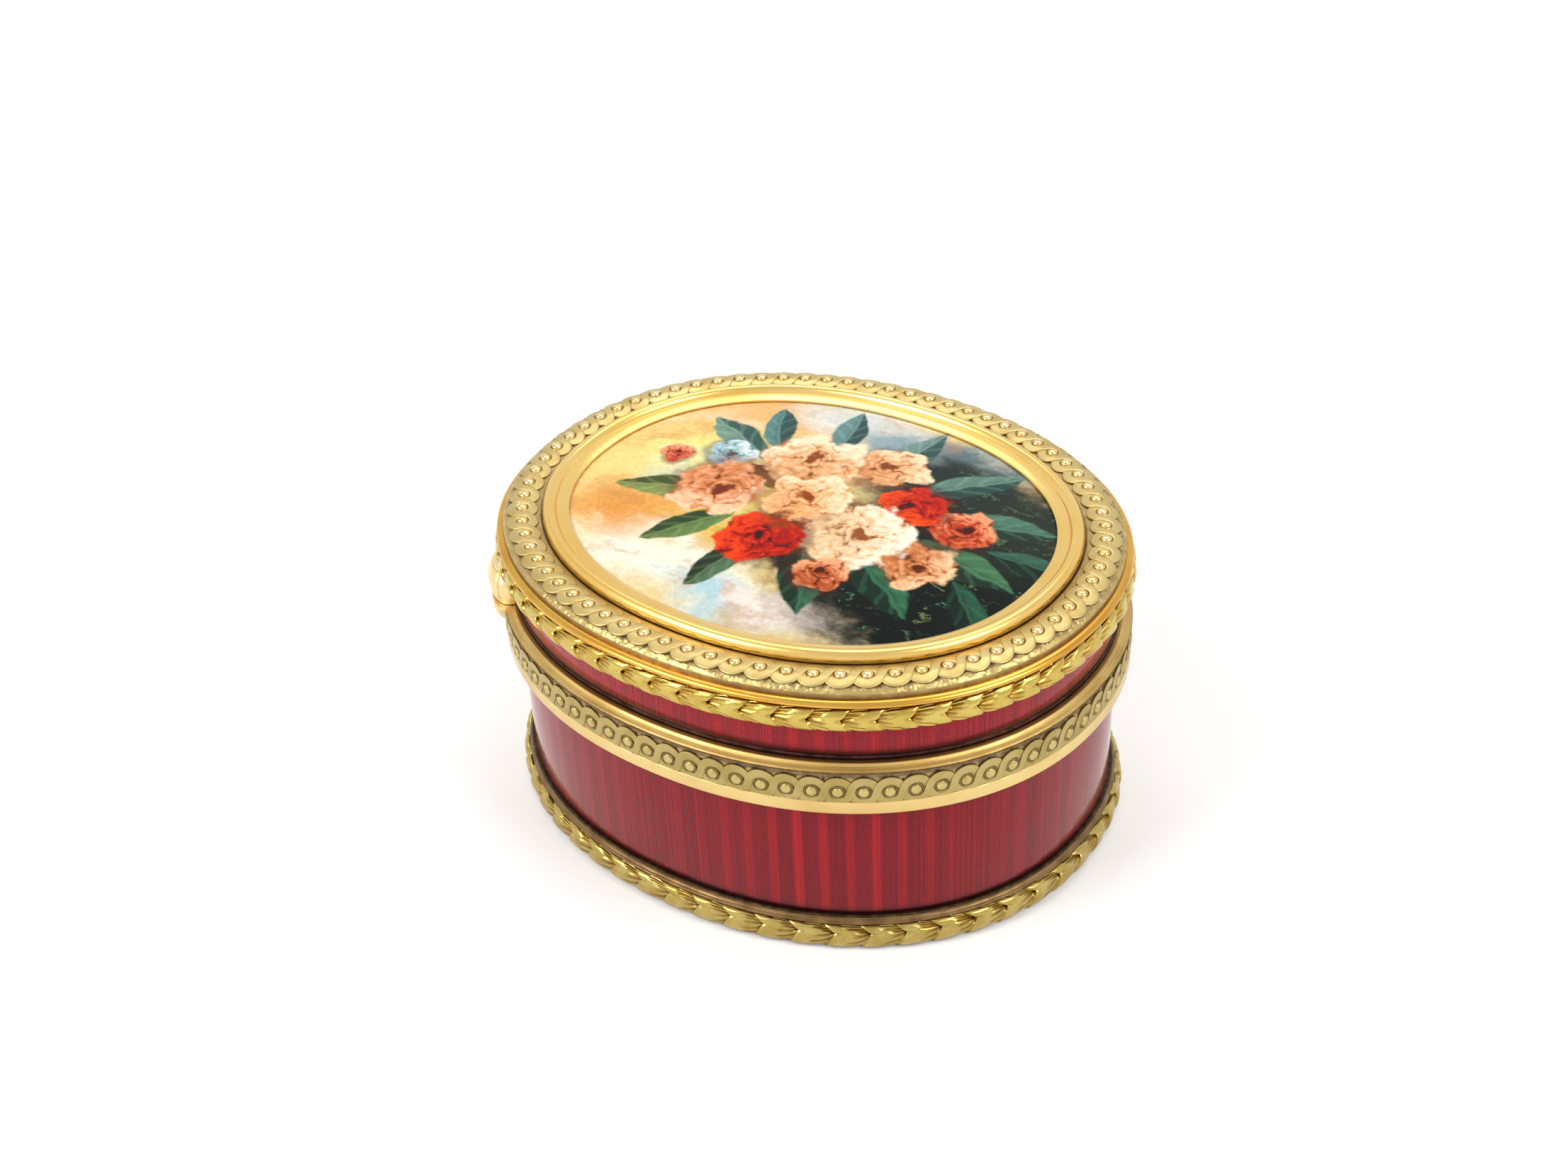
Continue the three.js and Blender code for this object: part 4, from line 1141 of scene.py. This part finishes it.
def leaf_group():
    """A painted leaf: pointed, with a light midrib and a darker half."""
    tree, given, result = new_group(
        "painted_leaf", Spot=VECTOR, Middle=VECTOR, Turn=NUMBER, Size=VECTOR, Wobble=VECTOR, Light=COLOUR,
        Deep=COLOUR, Under=COLOUR)
    spot = add(tree, "VectorMath MULTIPLY_ADD", given["Wobble"], (0.3, 0.7, 0.0), local_spot(tree, given))
    along = add(tree, "VectorMath DOT_PRODUCT", spot, (1.0, 0.0, 0.0))
    across = add(tree, "VectorMath DOT_PRODUCT", spot, (0.0, 1.0, 0.0))
    from_rib = add(tree, "Math ABSOLUTE", across)
    taper = add(tree, "Math SUBTRACT", 1.0, add(tree, "Math MULTIPLY", along, along))
    cover = add(tree, "Math SUBTRACT", taper, from_rib)
    cover = add(tree, "MapRange SMOOTHSTEP", cover, -0.04, 0.16)
    half = add(tree, "MapRange SMOOTHSTEP", across, -0.25, 0.35)
    rib = add(tree, "MapRange SMOOTHSTEP", from_rib, 0.03, 0.16, 0.8, 0.0)
    veins = add(tree, "Math MULTIPLY_ADD", from_rib, -7.0, add(tree, "Math MULTIPLY", along, 14.0))
    veins = add(tree, "MapRange SMOOTHSTEP", add(tree, "Math SINE", veins), 0.2, 1.0)
    shade = add(tree, "Math MULTIPLY_ADD", veins, 0.25, add(tree, "Math MULTIPLY", half, 0.7))
    base = add(tree, "Mix RGBA", add(tree, "Math MAXIMUM", shade, rib), given["Deep"], given["Light"])
    painted = add(tree, "Mix RGBA", cover, given["Under"], base)
    tree.links.new(first_output(painted), result)
    return tree


def picture_enamel(name):
    """Painted enamel under a clear flux: thin colours on a white ground, glossy, soft where they were stippled."""
    material, tree = start_material(name)
    where = add(tree, "TexCoord").outputs["Object"]
    shares = (1 / (PICTURE_HALF_LENGTH * MM), 1 / (PICTURE_HALF_WIDTH * MM), 0.0)
    spot = add(tree, "VectorMath MULTIPLY", where, shares)
    # The sky
    cloudy = add(tree, "VectorMath MULTIPLY_ADD", wander(tree, spot, 2.4, 6.0, 0.6), (0.7, 0.7, 0.0), spot)
    colour = linear("#DCC690")
    for x, y, wide, tall, code, soft in WASHES:
        colour = add(tree, "Mix RGBA", soft_patch(tree, cloudy, x, y, wide, tall, soft), colour, linear(code))
    billow = add(tree, "TexNoise", {"Vector": cloudy, "Scale": 3.4, "Detail": 5.0})
    pale = add(tree, "MapRange SMOOTHSTEP", billow, 0.5, 0.66, 0.0, 0.3)
    colour = add(tree, "Mix RGBA", pale, colour, linear("#FBF0D8"))
    warm = add(tree, "MapRange SMOOTHSTEP", billow, 0.47, 0.36, 0.0, 0.45)
    colour = add(tree, "Mix RGBA", warm, colour, linear("#C08A4E"))
    # The dark leafage, with dabs of lighter green
    leafy = add(tree, "VectorMath MULTIPLY_ADD", wander(tree, spot, 7.0, 5.0, 0.6), (0.45, 0.45, 0.0), spot)
    dark = None
    for x, y, wide, tall, code, soft in SHADES:
        patch = soft_patch(tree, leafy, x, y, wide, tall, soft)
        colour = add(tree, "Mix RGBA", patch, colour, linear(code))
        dark = patch if dark is None else add(tree, "Math MAXIMUM", dark, patch)
    dab_places = add(tree, "VectorMath MULTIPLY", leafy, (16.0, 30.0, 0.0))
    cells = add(tree, "TexVoronoi", {"Vector": dab_places, "Scale": 1.0})
    dab = add(tree, "MapRange SMOOTHSTEP", cells.outputs["Distance"], 0.42, 0.18)
    chance = add(tree, "TexWhiteNoise", {"Vector": cells.outputs["Position"]})
    some = add(tree, "MapRange SMOOTHSTEP", chance, 0.45, 0.95)
    dab = add(tree, "Math MULTIPLY", dab, some)
    dab = add(tree, "Math MULTIPLY", dab, add(tree, "Math MULTIPLY", dark, 0.75))
    hue = add(tree, "Math FRACT", add(tree, "Math MULTIPLY", chance, 7.3))
    green = add(tree, "Mix RGBA", hue, linear("#3E7A62"), linear("#6E7C4A"))
    colour = add(tree, "Mix RGBA", dab, colour, green)
    # The spray, whose outlines waver
    leaf, flower = leaf_group(), flower_group()
    ratio = PICTURE_HALF_LENGTH / PICTURE_HALF_WIDTH
    level = add(tree, "VectorMath MULTIPLY", spot, (1 / SPRAY_SIZE, 1 / ratio / SPRAY_SIZE, 0.0))
    pushed = add(tree, "CombineXYZ", dab, hue)
    pushed = add(tree, "VectorMath MULTIPLY_ADD", pushed, (0.02, 0.002, 0.0), level)
    wobble = wander(tree, pushed, 9.0, 4.0)
    stipple = add(tree, "TexNoise", {"Vector": level, "Scale": 32.0, "Detail": 3.0})
    stipple = add(tree, "Math SUBTRACT", stipple, 0.5)
    for x, y, turn, long, wide, light, deep in LEAVES:
        colour = add(tree, "Group", {
            "Spot": level, "Middle": (x, y / ratio, 0.0), "Turn": -math.radians(turn), "Size": (long, wide, 1.0),
            "Wobble": wobble, "Light": linear(light), "Deep": linear(deep), "Under": colour}, node_tree=leaf)
    for x, y, size, turn, light, middle, deep in FLOWERS:
        colour = add(tree, "Group", {
            "Spot": level, "Middle": (x, y / ratio, 0.0), "Turn": turn, "Size": (size, size, 1.0),
            "Wobble": wobble, "Dabs": stipple, "Light": linear(light), "Half": linear(middle),
            "Deep": linear(deep), "Under": colour}, node_tree=flower)
    dabs = add(tree, "MapRange SMOOTHSTEP", grain(tree, 0.7, 4, 0.6), 0.3, 0.7, 0.9, 1.08)
    colour = add(tree, "HueSaturation", {"Value": dabs, "Saturation": 1.05, "Color": colour})
    shader = add(tree, "BsdfPrincipled", {
        "Base Color": colour, "Roughness": 0.35, "Specular IOR Level": 0.0, "Coat Weight": 1.0,
        "Coat Roughness": 0.03, "Coat IOR": 1.22})
    add(tree, "OutputMaterial", shader)
    return material


# Thumbpiece on the lid and the boss below it

THUMB_TURN = math.radians(217.7)
THUMB_HALF = 4.5
THUMB_STAND = 3.2
BOSS_STAND = 1.3
# The engraved line inside the thumbpiece's outline: its depth, its place and its width
LINE_DEPTH = 0.14
LINE_INSET = 0.75
LINE_WIDTH = 0.16
LOBE_LEVELS = 26
LOBE_STEPS = 40


def make_lobe(name, node, body, back, inside, outside, stand, width, line=0.0):
    """A plump lobe against the wall. stand(v) and width(v) give the shares of its stand and half width with height.

    It swells from inside to outside, and its straight sides go back to back. line is the depth of the engraved line
    that runs inside its outline.
    """
    low, high = heights(node)
    x, y, nx, ny = (float(v) for v in oval(np.array(THUMB_TURN)))
    v = np.linspace(0, 1, LOBE_LEVELS)[:, None]
    turn = np.linspace(-np.pi / 2, np.pi / 2, LOBE_STEPS)[None, :]
    c, s = np.cos(turn), np.sin(turn)
    bulge = np.sign(c) * np.abs(c) ** 0.75
    along = THUMB_HALF * width(v) * s
    depth = (outside - inside) * stand(v) * bulge
    near_edge = np.minimum(np.minimum(v, 1 - v) * (high - low), (1 - np.abs(s)) * THUMB_HALF)
    depth = depth - line * bell(near_edge - LINE_INSET, LINE_WIDTH) * (bulge > 0.3)
    offset = inside + np.maximum(depth, 0)
    offset[:, [0, -1]] = back
    z = low + (high - low) * v + 0 * turn
    points = np.stack([x + offset * nx - along * ny, y + offset * ny + along * nx, z], -1)
    top = (LOBE_LEVELS - 1) * LOBE_STEPS
    ends = [tuple(range(LOBE_STEPS - 1, -1, -1)), tuple(range(top, top + LOBE_STEPS))]
    faces = [*sheet_faces(LOBE_LEVELS, LOBE_STEPS, closed_cols=True), *ends]
    tone = 0.7 * bell(near_edge - LINE_INSET, 0.75 * LINE_WIDTH) * (line > 0) + 0 * z
    make_piece(name, points.reshape(-1, 3), faces, thumb_gold, "polished_gold", body, [node], tone, crease=45)


def make_thumb():
    def stand(v):
        """Full, then lying back and rounded off at its top."""
        full = 0.92 + 0.08 * smooth_step(0, 0.35, v)
        return full - 0.3 * smooth_step(0.55, 0.97, v) - 0.5 * smooth_step(0.93, 1, v)

    def width(v):
        return 1 - 0.04 * smooth_step(0.2, 0, v) - 0.34 * smooth_step(0.45, 1.0, v) ** 1.5

    make_lobe("thumb_lobe", "thumbpiece", "lid", enamel_face + 0.02, enamel_face + 0.15, enamel_face + THUMB_STAND,
              stand, width, LINE_DEPTH)

    def boss_stand(v):
        return 0.45 + 0.55 * smooth_step(0, 0.75, v) ** 0.8 - 0.06 * smooth_step(0.9, 1, v)

    def boss_width(v):
        return 0.33 + 0.67 * smooth_step(-0.25, 0.9, v)

    make_lobe("boss_lobe", "thumb_boss", "body", band_face - RIM_SHOULDER, band_face + 0.05, band_face + BOSS_STAND,
              boss_stand, boss_width)


# Stage, light and camera

CAMERA_ELEVATION = 34.86
CAMERA_TURN = -36.3
CAMERA_ROLL = -2.723
CAMERA_DISTANCE = 256.69
CAMERA_SHIFT_X = 3.583
CAMERA_SHIFT_Y = 9.858
FOCUS_HEIGHT = 39.55
FOCAL_LENGTH = 46.81
SENSOR_WIDTH = 36
CLIP_START = 0.01
CLIP_END = 20
# Soft boxes: name, azimuth and elevation in degrees, distance, width, height, watts. Azimuth 0 is the camera's
# side, and positive is to its right.
LAMPS = [("left_box", -68, 42, 0.9, 0.4, 0.5, 4.2), ("right_box", 58, 48, 0.9, 0.4, 0.4, 3.0),
         ("top_box", 170, 62, 1.0, 0.8, 0.5, 3.0)]
# The lamps look at a point this high above the floor
AIM_HEIGHT = 0.02
FLOOR_HALF = 6.0
# The floor lies a hair below the foot
FLOOR_DROP = 0.00002
# Where the floor starts to fade to white and where that ends, in metres, and how much it glows at both
FADE_START = 0.15
FADE_END = 0.8
GLOW_NEAR = 0.14
GLOW_FAR = 0.6
# The strength at which the white room lights the box
ROOM_LIGHT = 0.5


def turned(vector, angle):
    return Matrix.Rotation(math.radians(angle), 3, "Z") @ Vector(vector)


def make_camera():
    tilt, roll = math.radians(CAMERA_ELEVATION), math.radians(CAMERA_ROLL)
    right = Vector((1, 0, 0))
    up = Vector((0, math.sin(tilt), math.cos(tilt)))
    ahead = Vector((0, math.cos(tilt), -math.sin(tilt)))
    spot = -CAMERA_SHIFT_X * right - CAMERA_SHIFT_Y * up - CAMERA_DISTANCE * ahead
    spot.z += FOCUS_HEIGHT
    right, up = (math.cos(roll) * right + math.sin(roll) * up, math.cos(roll) * up - math.sin(roll) * right)
    axes = [turned(v, -CAMERA_TURN) for v in (right, up, -ahead)]
    pose = Matrix([[axes[c][r] for c in range(3)] for r in range(3)]).to_4x4()
    pose.translation = turned(spot, -CAMERA_TURN) * MM
    data = bpy.data.cameras.new("camera")
    data.sensor_width = SENSOR_WIDTH
    data.lens = FOCAL_LENGTH
    data.clip_start = CLIP_START
    data.clip_end = CLIP_END
    camera = bpy.data.objects.new("camera", data)
    camera.matrix_world = pose
    bpy.context.scene.collection.objects.link(camera)
    bpy.context.scene.camera = camera


def make_lamp(name, azimuth, elevation, distance, wide, tall, power):
    """A white soft box, turned to the snuff box."""
    a, e = math.radians(azimuth), math.radians(elevation)
    spot = Vector((math.sin(a) * math.cos(e), -math.cos(a) * math.cos(e), math.sin(e))) * distance
    spot = turned(spot, -CAMERA_TURN)
    data = bpy.data.lights.new(name, "AREA")
    data.shape = "RECTANGLE"
    data.size, data.size_y = wide, tall
    data.energy = power
    lamp = bpy.data.objects.new(name, data)
    lamp.location = spot + Vector((0, 0, AIM_HEIGHT))
    lamp.rotation_euler = spot.to_track_quat("Z", "Y").to_euler()
    bpy.context.scene.collection.objects.link(lamp)


def background_rays(tree):
    """1 for the rays that show the background: straight to the camera, in metal or through glass."""
    ray = add(tree, "LightPath")
    mirrored = add(tree, "Math MAXIMUM", ray.outputs["Is Glossy Ray"], ray.outputs["Is Transmission Ray"])
    return add(tree, "Math MAXIMUM", ray.outputs["Is Camera Ray"], mirrored)


def make_floor():
    """A pale floor that fades to white away from the box and keeps its shadow."""
    material, tree = start_material("pale_floor")
    seen = background_rays(tree)
    shader = add(tree, "BsdfPrincipled", {"Base Color": linear("#F4F4F4"), "Roughness": 0.9,
                                          "Specular IOR Level": 0.0})
    far = add(tree, "VectorMath LENGTH", add(tree, "TexCoord").outputs["Object"])
    lift = add(tree, "MapRange SMOOTHSTEP", far, FADE_START, FADE_END, GLOW_NEAR, GLOW_FAR)
    glow = add(tree, "Emission", linear("#FFFFFF"), add(tree, "Math MULTIPLY", seen, lift))
    add(tree, "OutputMaterial", add(tree, "AddShader", shader, glow))
    mesh = bpy.data.meshes.new("floor")
    corners = [(x * FLOOR_HALF, y * FLOOR_HALF, 0) for x, y in ((-1, -1), (1, -1), (1, 1), (-1, 1))]
    mesh.from_pydata(corners, [], [(0, 1, 2, 3)])
    mesh.materials.append(material)
    floor = bpy.data.objects.new("floor", mesh)
    floor.location.z = -FLOOR_DROP
    bpy.context.scene.collection.objects.link(floor)


def make_world():
    """A white room, seen at full strength and lighting the box at half."""
    world = bpy.data.worlds.new("studio")
    world.use_nodes = True
    bpy.context.scene.world = world
    tree = world.node_tree
    tree.nodes.clear()
    seen = background_rays(tree)
    way = add(tree, "SeparateXYZ", add(tree, "TexCoord").outputs["Generated"])
    high_up = add(tree, "MapRange SMOOTHSTEP", way.outputs["Z"], 0.2, 1.0)
    room = add(tree, "Mix RGBA", high_up, linear("#FFFFFF"), linear("#E4E4E4"))
    shown = add(tree, "Background", room, 1.0)
    fill = add(tree, "Background", linear("#FFFFFF"), ROOM_LIGHT)
    add(tree, "OutputWorld", add(tree, "MixShader", seen, fill, shown))


def make_stage():
    make_floor()
    make_world()
    for lamp in LAMPS:
        make_lamp(*lamp)
    bpy.context.scene.view_settings.view_transform = "Standard"


make_camera()
make_stage()
make_walls()
make_plate("floor_plate", wall_inside, "body", "base_plate")
make_fillet()
make_border()
make_body_band()
make_rim()
make_lid()
make_cordon()
make_lid_ground()
make_top_ribbon()
make_laurel("lid_laurel", "lid", "lid_leaf_moulding", chased_gold, count=62, phase=0.85, way=1, nose=1.15,
            notch=14, undercut=(0.26, 0.12), seed=11)
make_laurel("foot_laurel", "body", "foot_leaf_moulding", foot_gold, count=55, phase=0.58, way=-1, nose=1.1,
            notch=30, undercut=(0.12, 0.14), seed=12, shade_under=0.9)
make_bezel()
make_picture(picture_enamel("painted_enamel"))
make_thumb()
make_hinge()
